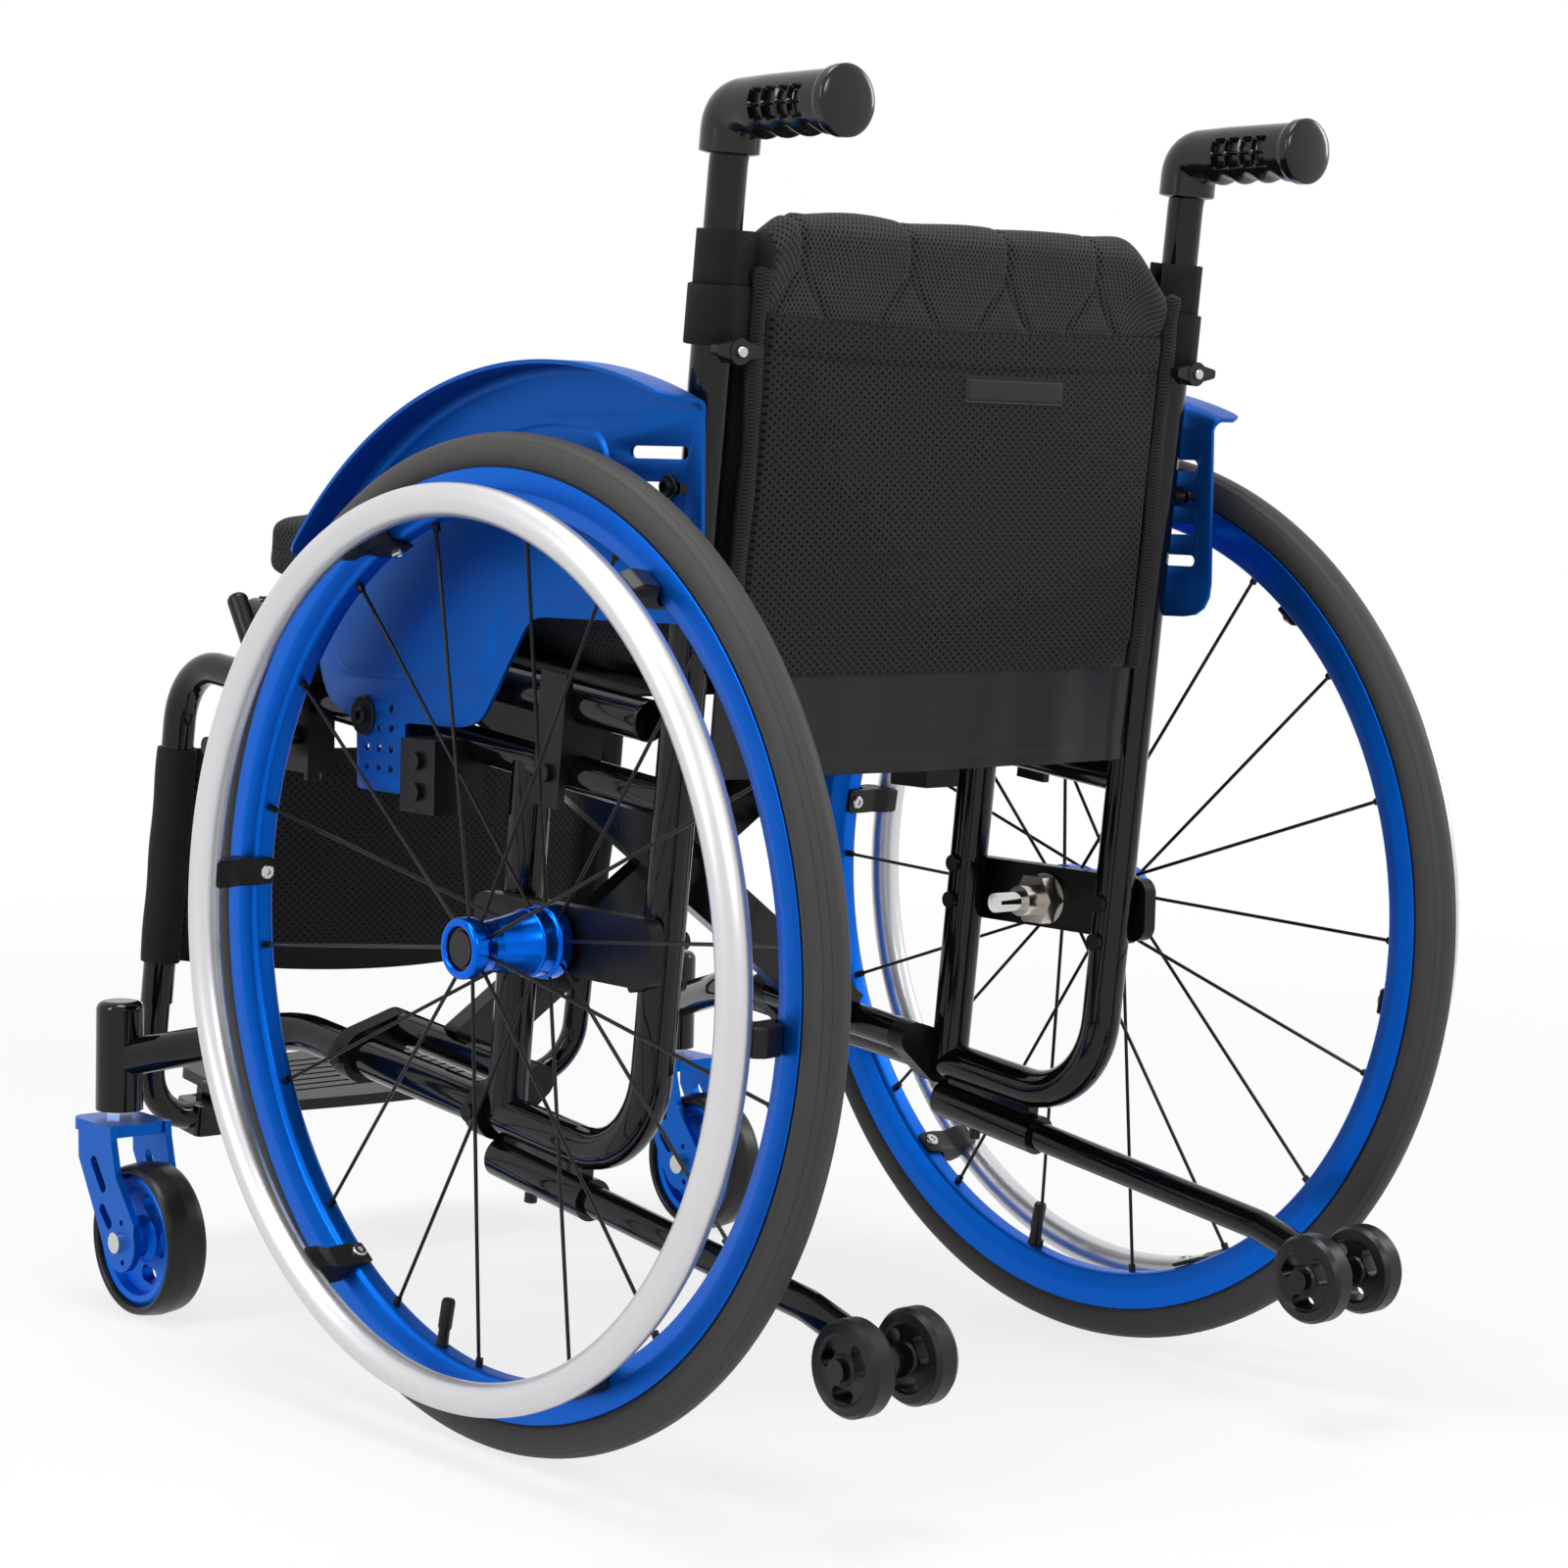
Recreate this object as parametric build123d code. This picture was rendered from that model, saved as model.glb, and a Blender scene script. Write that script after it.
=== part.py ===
from build123d import *
import math
import os

# Folding sports wheelchair, millimetres. +Z is up, +X is the user's left, -Y is forwards.
# The pieces are worked out about the rear axle (Y = 0) with the ground at Z = 0, and at the
# end everything moves along Y, so that the origin lies under the middle of the chair.

# Frame
FRAME_HALF = 186.0
FRAME_TILT = 5.5
MAIN_OUTER = 25.0
MAIN_WALL = 1.3
CANE_S = 71.0
CANE_TOP_H = 372.0
CANE_BEND = 60.0
LOWER_H = -124.0
LOWER_FRONT_S = -295.0
LOWER_BEND = 90.0
SIDE_OUTER = 22.0
SIDE_WALL = 1.4
SIDE_H = 95.0
SIDE_FRONT_S = -461.0
SIDE_BEND = 45.0
LEG_END_S = -470.5
LEG_END_H = -146.0
UPRIGHT_S = -64.5
RUNNING_FIT = 0.05
CLEAR = 0.3

# Seat rail and its saddles
RAIL_H = 137.0
RAIL_OUTER = 25.0
RAIL_WALL = 1.5
RAIL_REAR_S = 41.0
RAIL_FRONT_S = -375.0
RAIL_PLUG = 3.0
SADDLE_PLACES = (-27.5, -300.0)
SADDLE_LENGTH = 25.0
CHEEK = 5.2
CHEEK_BOTTOM_H = (75.0, 86.0)
CHEEK_TOP_H = 155.0

# Cross brace
PIVOT_X = 157.0
PIVOT_H = -108.0
PIVOT_OUTER = 22.0
PIVOT_PIN = 12.0
PIVOT_REAR_S = -85.0
PIVOT_FRONT_S = -215.0
PIVOT_BLOCK = 14.0
PIVOT_GAP = 0.5
ARM_WIDTH = 35.0
ARM_THICK = 13.0
ARM_S = -148.0
ARM_GAP = 0.6
BRACE_BOLT = 10.0
FOLD_ANGLE = 30.0

# Rear wheel
TYRE_RADIUS = 296.5
TYRE_WIDTH = 26.0
TYRE_HEIGHT = 20.5
RIM_DEPTH = 23.7
RIM_WIDTH = 22.0
RIM_WALL = 2.0
WHEEL_HALF = 248.0
SPOKE_COUNT = 18
SPOKE = 2.3
NIPPLE = 4.6
SPOKE_START_LEFT = 6.6
SPOKE_START_RIGHT = 19.4
HUB_INNER_X = 210.3
HUB_OUTER_X = 279.5
HUB_FLANGE = 44.0
HUB_WAIST = 30.0
HUB_HEAD = 36.0
HANDRIM_INSET = 19.0
HANDRIM_TUBE = 20.0
HANDRIM_WALL = 2.0
HANDRIM_OFFSET = 40.7
CLIP_COUNT = 6
CLIP_START_LEFT = 55.9
CLIP_START_RIGHT = 50.7
CLIP_WIDTH = 17.0
CLIP_HEIGHT = 9.0
VALVE_ANGLE = 258.0

# Quick-release axle
AXLE = 12.7
AXLE_TIP_X = 150.0
AXLE_HEAD = 24.4
AXLE_HEAD_X = 266.5
AXLE_HEAD_LENGTH = 10.0
HEAD_FLOOR = 3.5
BUTTON = 20.8
BUTTON_TRAVEL = 3.5
PUSH_ROD = 6.0
SLEEVE_OUTER = 20.0
SLEEVE_INNER_X = 172.0
SLEEVE_OUTER_X = 209.5
NUT_FLATS = 30.0
NUT_THICK = 12.0
WASHER = 34.0
WASHER_THICK = 2.5
PLATE_GAP = 0.2
PLATE_THICK = 9.8
PLATE_REAR_Y = 88.0
PLATE_FRONT_Y = -82.0
PLATE_ABOVE_AXLE = 21.5
PLATE_BELOW_AXLE = 19.5
PLATE_BOLT_PITCH = 25.0
BOLT = 6.0
BOLT_HEAD = 11.0
BOLT_HEAD_THICK = 3.4

# Caster
CASTER_X = 241.0
CASTER_Y = -438.0
HOUSING_OUTER = 32.0
HOUSING_BOTTOM_Z = 133.0
HOUSING_TOP_Z = 200.0
HOUSING_JOIN_Z = 167.0
CAP_HEIGHT = 7.0
BEARING_OUTER = 24.0
BEARING_THICK = 8.0
BEARING_LIP = 18.0
STEM = 12.0
NUT_SPACE = 4.0
SPINDLE_NUT = 5.7
STEM_NUT = 9.5
CASTER_RADIUS = 51.5
CASTER_TRAIL = 40.0
CASTER_WIDTH = 30.0
CASTER_HUB = 88.0
CASTER_HUB_WIDTH = 24.0
CASTER_BOLT = 8.0
FORK_GAP = 37.0
FORK_BLADE = 5.0
CROWN_THICK = 8.0
CROWN_LENGTH = 53.0
CASTER_OPENINGS = 5

# Push handle and grip
HANDLE_OUTER = 22.2
HANDLE_WALL = 1.5
HANDLE_BOTTOM_H = 245.0
HANDLE_CORNER_H = 485.6
HANDLE_BEND = 34.0
HANDLE_END_Y = 208.0
GRIP_OUTER = 35.0
GRIP_END = 39.0
GRIP_BOTTOM_Z = 749.0
GRIP_FLANGE = 8.0
KNOB_H = 354.0
KNOB_SCREW = 8.0
KNOB_SPAN = 34.0

# Anti-tip device
SOCKET_OUTER = 26.0
SOCKET_H = -150.5
SOCKET_FRONT_S = -66.0
SOCKET_REAR_S = 26.0
SOCKET_DROP = 2.0
SOCKET_WEB = 14.0
SOCKET_WEB_THICK = 9.0
ARM_TUBE = 19.0
ARM_WALL = 1.6
ARM_BEND_S = 222.0
ROLLER_Y = 269.0
ROLLER_Z = 97.0
ROLLER = 54.0
ROLLER_WIDTH = 18.0
ROLLER_OFFSET = 22.9
ROLLER_BOLT = 8.0
SNAP_BUTTON = 8.0
SNAP_TRAVEL = 2.5
SNAP_S = -33.0

# Side guard
GUARD_X = 206.5
GUARD_THICK = 3.0
GUARD_FLANGE = 29.5
GUARD_FRONT_Y = -252.0
GUARD_REAR_Y = 127.0
CREST = ((GUARD_FRONT_Y, 512.0), (-18.0, 633.5), (GUARD_REAR_Y, 613.0))
GUARD_SHOULDERS = ((GUARD_REAR_Y, 488.0), (-30.0, 485.0), (-77.0, 420.0), (-96.0, 415.0), (-156.0, 413.0))
GUARD_TAB = ((-156.0, 369.0), (-207.0, 369.0), (-209.0, 412.0), (-238.0, 424.0), (GUARD_FRONT_Y, 450.0))
GUARD_CORNER = 6.0
SLOT_Y = 87.0
SLOT_Z = 523.0
SLOT_PITCH = 20.0
SLOT_COUNT = 4
SLOT_LENGTH = 52.0
SLOT_WIDTH = 7.0
TAB_HOLES = ((-197, 384), (-184, 384), (-171, 384), (-197, 396), (-184, 396), (-171, 396), (-171, 409),
             (-184, 409), (-171, 421))
TAB_HOLE = 5.2
GUARD_WASHERS = (25.0, 14.0)

# Clamp block of the guard and the wheel lock
CLAMP_FRONT_Y = -142.0
CLAMP_REAR_Y = -106.0
CLAMP_BOTTOM_Z = 361.0
CLAMP_TOP_Z = 406.0
CLAMP_REACH = 36.0
CLAMP_BOLTS_Z = (374.0, 393.0)
BRACKET_HALF = 13.0
BRACKET_BOTTOM_Z = 372.0
BRACKET_TOP_Z = 412.0
BOSS = 13.0

# Wheel lock
LOCK_Y = -292.0
LOCK_Z = 396.0
LOCK_X = 207.8
LOCK_PLATE = 4.0
LOCK_SHOE = 12.0
LOCK_SHOE_X = 262.0
LOCK_PIN = 8.0

# Soft pieces
CUSHION_HALF = 175.0
CUSHION_REAR_S = 60.0
CUSHION_FRONT_S = -362.0
CUSHION_TOP_H = 210.0
SLING_THICK = 2.0
BACK_HALF = 171.5
BACK_BOTTOM_H = 166.5
BACK_TOP_H = 432.5
BACK_THICK = 19.0
BACK_REAR_S = 85.0
STRAP = 2.0
STRAP_BANDS = ((364.5, 384.5), (387.5, 420.0))
POCKET_BOTTOM_H = 208.0
POCKET_TOP_H = 376.0
POCKET_HALF = 160.0
POCKET_DEPTH = 5.0
CHANNELS_X = (137.0, 53.0, -24.0, -99.0)
CHANNEL_BOTTOM_H = 399.0
FLAP_BOTTOM_H = 108.0
CALF_TOP_H = 34.0
CALF_BOTTOM_H = -117.0
CALF_SAG = 26.0

# Leg tube and footplate
LEG_INNER = 19.0
LEG_CORNER_H = -230.0
LEG_TOP_H = -40.0
LEG_BEND = 40.0
STUB_END_X = 128.0
STUB_END_Y = -500.0
STUB_END_Z = 109.0
PLATE_TILT = 7.0
HINGE_X = 127.0
HINGE_Y = -500.0
HINGE_Z = 123.6
HINGE_PIN = 5.0
HINGE_KNUCKLE = 5.0
FOOT_THICK = 8.0
FOOT_LEFT_X = 121.0
FOOT_RIGHT_X = -140.0
FOOT_FRONT = 62.0
FOOT_REAR = 52.0
FOOT_BULGE = 9.0
FOOT_CORNER = 12.0
GROOVE_COUNT = 7
GROOVE_PITCH = 11.0
GROOVE_WIDTH = 3.0
GROOVE_START = -42.0
GROOVE_MARGIN = 14.0

AXLE_Z = TYRE_RADIUS
RIM_RADIUS = TYRE_RADIUS - TYRE_HEIGHT
RIM_INNER = RIM_RADIUS - RIM_DEPTH
HANDRIM_RADIUS = RIM_RADIUS - HANDRIM_INSET
PLATE_TOP_Z = AXLE_Z + PLATE_ABOVE_AXLE
PLATE_BOTTOM_Z = AXLE_Z - PLATE_BELOW_AXLE
TILT_COS = math.cos(math.radians(FRAME_TILT))
TILT_SIN = math.sin(math.radians(FRAME_TILT))
TILTED = Pos(0, 0, AXLE_Z) * Rot(-FRAME_TILT, 0, 0)
MAIN_RADIUS = MAIN_OUTER / 2
SIDE_RADIUS = SIDE_OUTER / 2
RAIL_RADIUS = RAIL_OUTER / 2
PLATE_INNER_X = FRAME_HALF + MAIN_RADIUS + PLATE_GAP
PLATE_OUTER_X = PLATE_INNER_X + PLATE_THICK
CASTER_AXLE_Y = CASTER_Y + CASTER_TRAIL
LEG_SLOPE = (SIDE_FRONT_S - LEG_END_S) / (SIDE_H - LEG_END_H)


# Helpers

def at(x, s, h):
    """Point of the tilted side frame: s runs rearwards along it and h up, from the axle."""
    return Vector(x, s * TILT_COS + h * TILT_SIN, AXLE_Z + h * TILT_COS - s * TILT_SIN)


def rod(start, end, diameter):
    """Solid cylinder between two points."""
    start = Vector(*start)
    end = Vector(*end)
    return Solid.make_cylinder(diameter / 2, (end - start).length, Plane(start, z_dir=end - start))


def swept(points, diameter, bends):
    """Solid round bar along straight runs joined by arcs."""
    path = FilletPolyline(*points, radius=bends) if len(points) > 2 else Line(*points)
    return sweep(Plane(path @ 0, z_dir=path % 0) * Circle(diameter / 2), path=path).solid()


def tube(points, outer, wall, bends=0.0):
    """Round tube along straight runs joined by arcs."""
    return swept(points, outer, bends) - swept(points, outer - 2 * wall, bends)


def block(x0, x1, y0, y1, z0, z1):
    """Box between six planes."""
    return Pos((x0 + x1) / 2, (y0 + y1) / 2, (z0 + z1) / 2) * Box(abs(x1 - x0), abs(y1 - y0), abs(z1 - z0))


def disc_x(y, z, x0, x1, diameter):
    """Cylinder along X between two planes."""
    return rod((min(x0, x1), y, z), (max(x0, x1), y, z), diameter)


def turned(profile, y=0.0, z=0.0):
    """Solid of revolution about an X line: the profile lists (x, radius)."""
    return Pos(0, y, z) * revolve(make_face(Polyline(*profile, close=True)), axis=Axis.X)


def plate_x(outline, x0, x1):
    """Plate square to X: the outline is a face drawn as (y, z)."""
    return extrude(Plane.YZ.offset(x0) * outline, amount=x1 - x0)


def mirrored(shape):
    """The same piece for the other side of the chair."""
    return mirror(shape, about=Plane.YZ)


def around(angle, radius):
    """Offset (y, z) at an angle from the rear towards the top."""
    return radius * math.cos(math.radians(angle)), radius * math.sin(math.radians(angle))


def solids_of(shape):
    """The separate solids of a shape, as a list."""
    return list(shape.solids())


# Lines that several pieces share

def cane_axis():
    return at(FRAME_HALF, CANE_S, LOWER_H), at(FRAME_HALF, CANE_S, CANE_TOP_H)


def lower_axis():
    return at(FRAME_HALF, CANE_S, LOWER_H), at(FRAME_HALF, LOWER_FRONT_S, LOWER_H)


def upright_axis():
    return at(FRAME_HALF, UPRIGHT_S, LOWER_H), at(FRAME_HALF, UPRIGHT_S, SIDE_H)


def side_axis():
    return at(FRAME_HALF, CANE_S, SIDE_H), at(FRAME_HALF, SIDE_FRONT_S, SIDE_H)


def leg_point(h):
    return at(FRAME_HALF, SIDE_FRONT_S - (SIDE_H - h) * LEG_SLOPE, h)


def socket_point(s):
    drop = math.tan(math.radians(SOCKET_DROP)) * (s - SOCKET_FRONT_S)
    return at(FRAME_HALF, s, SOCKET_H - drop)


def plate_bolts():
    """Places (y, z) of the four axle plate bolts, on the cane and on the upright."""
    places = []
    for tube_s in (CANE_S, UPRIGHT_S):
        for side in (-1, 1):
            h = side * PLATE_BOLT_PITCH / 2
            point = at(0, tube_s, h)
            places.append((point.Y, point.Z))
    return places


def saddle_bolts():
    """Places (y, z) of the bolts that hold the saddles on the upper side tube."""
    return [(at(0, s, SIDE_H).Y, at(0, s, SIDE_H).Z) for s in SADDLE_PLACES]


# Side frame: cane, bottom bend and lower tube in one, caster housing, anti-tip socket

def side_frame():
    join = Vector(CASTER_X, CASTER_Y, HOUSING_JOIN_Z)
    points = [cane_axis()[1], cane_axis()[0], lower_axis()[1], join]
    main = tube(points, MAIN_OUTER, MAIN_WALL, [CANE_BEND, LOWER_BEND])
    outer = rod((CASTER_X, CASTER_Y, HOUSING_BOTTOM_Z), (CASTER_X, CASTER_Y, HOUSING_TOP_Z), HOUSING_OUTER)
    bottom_seat = HOUSING_BOTTOM_Z + BEARING_THICK
    top_seat = HOUSING_TOP_Z - BEARING_THICK - NUT_SPACE
    housing = outer
    housing -= rod((CASTER_X, CASTER_Y, HOUSING_BOTTOM_Z), (CASTER_X, CASTER_Y, bottom_seat), BEARING_OUTER)
    housing -= rod((CASTER_X, CASTER_Y, bottom_seat), (CASTER_X, CASTER_Y, top_seat), BEARING_LIP)
    housing -= rod((CASTER_X, CASTER_Y, top_seat), (CASTER_X, CASTER_Y, HOUSING_TOP_Z), BEARING_OUTER)
    frame = (main - outer) + housing
    socket_ends = [socket_point(SOCKET_FRONT_S), socket_point(SOCKET_REAR_S)]
    socket_bore = ARM_TUBE + 2 * RUNNING_FIT
    web_mid = at(FRAME_HALF, (SOCKET_FRONT_S + SOCKET_REAR_S) / 2, (LOWER_H + SOCKET_H) / 2)
    web_length = SOCKET_REAR_S - SOCKET_FRONT_S - SOCKET_WEB
    web = Pos(*web_mid) * Rot(-FRAME_TILT, 0, 0) * Box(SOCKET_WEB_THICK, web_length, SOCKET_WEB)
    bore_line = (at(FRAME_HALF, CANE_S, LOWER_H), at(FRAME_HALF, LOWER_FRONT_S, LOWER_H))
    socket = web + rod(*socket_ends, SOCKET_OUTER)
    socket -= rod(*bore_line, MAIN_OUTER)
    frame = frame + socket
    frame -= rod(socket_point(SOCKET_FRONT_S - 5), socket_point(SOCKET_REAR_S + 5), socket_bore)
    button = snap_line()
    frame -= rod(button[0], button[1], SNAP_BUTTON + 2 * RUNNING_FIT)
    for y, z in plate_bolts()[:2]:
        frame -= disc_x(y, z, FRAME_HALF - 20, FRAME_HALF + 20, BOLT)
    knob = at(FRAME_HALF, CANE_S, KNOB_H)
    frame -= rod(knob, at(FRAME_HALF, CANE_S + 30, KNOB_H), KNOB_SCREW + 2 * RUNNING_FIT)
    guard_screw = guard_screws()[1]
    frame -= disc_x(*guard_screw, FRAME_HALF, FRAME_HALF + 20, BOLT)
    bearings = []
    for bottom in (HOUSING_BOTTOM_Z, top_seat):
        ring = rod((CASTER_X, CASTER_Y, bottom), (CASTER_X, CASTER_Y, bottom + BEARING_THICK), BEARING_OUTER)
        ring -= rod((CASTER_X, CASTER_Y, bottom), (CASTER_X, CASTER_Y, bottom + BEARING_THICK),
                    STEM + 2 * RUNNING_FIT)
        bearings.append(ring)
    cap_top = HOUSING_TOP_Z + CAP_HEIGHT
    cap = rod((CASTER_X, CASTER_Y, HOUSING_TOP_Z), (CASTER_X, CASTER_Y, cap_top), HOUSING_OUTER)
    cap = fillet(cap.edges().sort_by(Axis.Z)[-1], CAP_HEIGHT - 1)
    boss = rod(at(FRAME_HALF, CANE_S + MAIN_RADIUS, KNOB_H), at(FRAME_HALF, CANE_S + 15.5, KNOB_H), 14)
    boss -= rod(knob, at(FRAME_HALF, CANE_S + 30, KNOB_H), KNOB_SCREW + 2 * RUNNING_FIT)
    return solids_of(frame) + bearings + [cap, boss]



def snap_line():
    """Axis of the button under the anti-tip socket, square to it, from the bore's middle outwards."""
    middle = socket_point(SNAP_S)
    along = (socket_point(SOCKET_REAR_S) - socket_point(SOCKET_FRONT_S)).normalized()
    down = Vector(0, along.Z, -along.Y)
    return middle, middle + down * (SOCKET_OUTER / 2 + 6)


# Upper frame: upper side tube with the front bend and outer leg tube, and the short upright

def upper_frame():
    points = [side_axis()[0], side_axis()[1], leg_point(LEG_END_H)]
    upper = tube(points, SIDE_OUTER, SIDE_WALL, SIDE_BEND)
    upper -= rod(*cane_axis(), MAIN_OUTER)
    upright = tube(upright_axis(), MAIN_OUTER, MAIN_WALL)
    upright -= rod(*lower_axis(), MAIN_OUTER)
    upright -= rod(*side_axis(), SIDE_OUTER)
    for y, z in plate_bolts()[2:]:
        upright -= disc_x(y, z, FRAME_HALF - 20, FRAME_HALF + 20, BOLT)
    for y, z in saddle_bolts():
        upper -= disc_x(y, z, FRAME_HALF - 20, FRAME_HALF + 20, BOLT)
    return solids_of(upper + upright)


# Leg tube: inner telescoping tube bent inwards under the footplate, with its moulded clamp

def foot_frame():
    """Frame of the footplate at its hinge: X as the chair, Y rearwards along the plate."""
    return Pos(HINGE_X, HINGE_Y, HINGE_Z) * Rot(-PLATE_TILT, 0, 0)


def leg_tube(with_hinge):
    points = [leg_point(LEG_TOP_H), leg_point(LEG_CORNER_H), Vector(STUB_END_X, STUB_END_Y, STUB_END_Z)]
    inner = tube(points, LEG_INNER, SIDE_WALL, LEG_BEND)
    block_top = -FOOT_THICK / 2 - CLEAR
    clamp = block(-17, 22, -16, 16, -26, block_top)
    clamp = fillet(clamp.edges().filter_by(Axis.Z), 5)
    if with_hinge:
        clamp += block(-HINGE_KNUCKLE, HINGE_KNUCKLE, -16, 16, block_top - 1, 0)
        clamp += rod((0, -16, 0), (0, 16, 0), 2 * HINGE_KNUCKLE)
        clamp -= block(-20, HINGE_KNUCKLE + 1, -8.3, 8.3, -HINGE_KNUCKLE - 2 * CLEAR, 20)
        clamp -= rod((0, -16, 0), (0, 16, 0), HINGE_PIN)
    clamp = foot_frame() * clamp
    start = Vector(FRAME_HALF, points[1].Y, points[1].Z)
    stub = Vector(STUB_END_X, STUB_END_Y, STUB_END_Z)
    inward = (stub - start).normalized()
    clamp -= rod(stub, stub - inward * 40, LEG_INNER)
    pieces = [inner.solid(), clamp.solid()]
    if with_hinge:
        pin = rod((0, -16, 0), (0, 16, 0), HINGE_PIN)
        pieces.append(foot_frame() * pin)
    return pieces


# Footplate: moulded plate with a rounded rear edge, grip grooves and a hinge knuckle

def footplate():
    left = FOOT_LEFT_X - HINGE_X
    right = FOOT_RIGHT_X - HINGE_X
    outline = Polyline((left, FOOT_REAR - FOOT_BULGE), (left, -FOOT_FRONT), (right, -FOOT_FRONT),
                       (right, FOOT_REAR - FOOT_BULGE))
    bulge = ThreePointArc((right, FOOT_REAR - FOOT_BULGE), ((left + right) / 2, FOOT_REAR),
                          (left, FOOT_REAR - FOOT_BULGE))
    face = make_face([*outline.edges(), bulge])
    face = fillet(face.vertices(), FOOT_CORNER)
    plate = Pos(0, 0, -FOOT_THICK / 2) * extrude(face, amount=FOOT_THICK)
    for row in range(GROOVE_COUNT):
        y = GROOVE_START + row * GROOVE_PITCH
        plate -= block(right + GROOVE_MARGIN, left - GROOVE_MARGIN, y, y + GROOVE_WIDTH,
                       FOOT_THICK / 2 - 1, FOOT_THICK / 2 + 1)
    knuckle = rod((0, -8, 0), (0, 8, 0), 2 * HINGE_KNUCKLE)
    knuckle += block(left - 2, 0, -8, 8, -FOOT_THICK / 2, FOOT_THICK / 2)
    knuckle -= rod((0, -9, 0), (0, 9, 0), HINGE_PIN + 2 * RUNNING_FIT)
    return solids_of(foot_frame() * (plate + knuckle))


# Clamps on the side frame: brace pivot blocks with their pin, seat saddles, guard and lock clamps

def frame_clamps():
    pieces = []
    lower = rod(*lower_axis(), MAIN_OUTER)
    side = rod(*side_axis(), SIDE_OUTER)
    block_rear = PIVOT_REAR_S + PIVOT_GAP
    block_front = PIVOT_FRONT_S - PIVOT_GAP - PIVOT_BLOCK
    for start in (block_front, block_rear):
        outline = make_hull([*(Pos(FRAME_HALF, LOWER_H) * Circle(MAIN_RADIUS + 5)).edges(),
                             *(Pos(PIVOT_X, PIVOT_H) * Circle(PIVOT_OUTER / 2)).edges()])
        plane = Plane((0, start, 0), x_dir=(1, 0, 0), z_dir=(0, -1, 0))
        body = TILTED * extrude(plane * outline, amount=-PIVOT_BLOCK)
        body -= lower
        body -= rod(*upright_axis(), MAIN_OUTER)
        body -= rod(at(PIVOT_X, start - 1, PIVOT_H), at(PIVOT_X, start + 20, PIVOT_H), PIVOT_PIN)
        pieces.append(body.solids().sort_by(SortBy.VOLUME)[-1])
        top = at(FRAME_HALF + 9, start + PIVOT_BLOCK / 2, LOWER_H)
        face = FRAME_HALF + MAIN_RADIUS + 5
        pieces.append(disc_x(top.Y, top.Z, face, face + 3.5, BOLT_HEAD))
    pin = rod(at(PIVOT_X, block_front, PIVOT_H), at(PIVOT_X, block_rear + PIVOT_BLOCK, PIVOT_H), PIVOT_PIN)
    pieces.append(pin)
    cheek_inner = FRAME_HALF + RAIL_RADIUS + CLEAR
    for s, bottom_h, bolt in zip(SADDLE_PLACES, CHEEK_BOTTOM_H, saddle_bolts()):
        cheek = TILTED * block(cheek_inner, cheek_inner + CHEEK, s - SADDLE_LENGTH / 2, s + SADDLE_LENGTH / 2,
                               bottom_h, CHEEK_TOP_H)
        cradle = TILTED * block(FRAME_HALF - RAIL_RADIUS, cheek_inner, s - SADDLE_LENGTH / 2,
                                s + SADDLE_LENGTH / 2, SIDE_H - 4, RAIL_H)
        window = TILTED * block(FRAME_HALF - 20, cheek_inner, s - 5, s + 5, SIDE_H + 13, SIDE_H + 23)
        saddle = cheek + (cradle - window)
        saddle -= side
        saddle -= rod(at(FRAME_HALF, s - 30, RAIL_H), at(FRAME_HALF, s + 30, RAIL_H), RAIL_OUTER + 2 * CLEAR)
        saddle -= disc_x(*bolt, FRAME_HALF, FRAME_HALF + 30, BOLT)
        pieces.append(saddle.solids().sort_by(SortBy.VOLUME)[-1])
        screw = disc_x(*bolt, FRAME_HALF - SIDE_RADIUS + SIDE_WALL, cheek_inner + CHEEK, BOLT)
        screw += disc_x(*bolt, cheek_inner + CHEEK, cheek_inner + CHEEK + BOLT_HEAD_THICK, BOLT_HEAD)
        pieces.append(screw.solid())
    clamp = block(FRAME_HALF, FRAME_HALF + CLAMP_REACH, CLAMP_FRONT_Y, CLAMP_REAR_Y, CLAMP_BOTTOM_Z,
                  CLAMP_TOP_Z) - side
    pieces.append(clamp.solids().sort_by(SortBy.VOLUME)[-1])
    clamp_y = (CLAMP_FRONT_Y + CLAMP_REAR_Y) / 2
    clamp_face = FRAME_HALF + CLAMP_REACH
    for z in CLAMP_BOLTS_Z:
        pieces.append(disc_x(clamp_y, z, clamp_face, clamp_face + BOLT_HEAD_THICK, BOLT_HEAD))
    pieces.extend(lock_bracket())
    return pieces


def lock_bracket():
    """Bracket of the wheel lock under the upper side tube, with its pivot boss, pin and spring bolt."""
    face = FRAME_HALF + RAIL_RADIUS
    boss_end = LOCK_X - CLEAR
    bracket = block(FRAME_HALF - 8, face, LOCK_Y - BRACKET_HALF, LOCK_Y + BRACKET_HALF, BRACKET_BOTTOM_Z,
                    BRACKET_TOP_Z)
    bracket += disc_x(LOCK_Y, LOCK_Z, face - 1, boss_end, BOSS)
    bracket -= rod(*side_axis(), SIDE_OUTER)
    bracket -= disc_x(LOCK_Y, LOCK_Z, FRAME_HALF, boss_end + 1, LOCK_PIN)
    body = bracket.solids().sort_by(SortBy.VOLUME)[-1]
    pin = disc_x(LOCK_Y, LOCK_Z, FRAME_HALF, LOCK_X + LOCK_PLATE, LOCK_PIN)
    bolt = rod((FRAME_HALF, LOCK_Y, BRACKET_BOTTOM_Z - 6), (FRAME_HALF, LOCK_Y, BRACKET_BOTTOM_Z), BOLT_HEAD)
    return [body, pin, bolt]


# Wheel lock lever with its shoe bar

def shoe_centre():
    return LOCK_Y - 8.0, LOCK_Z - 6.0


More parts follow.
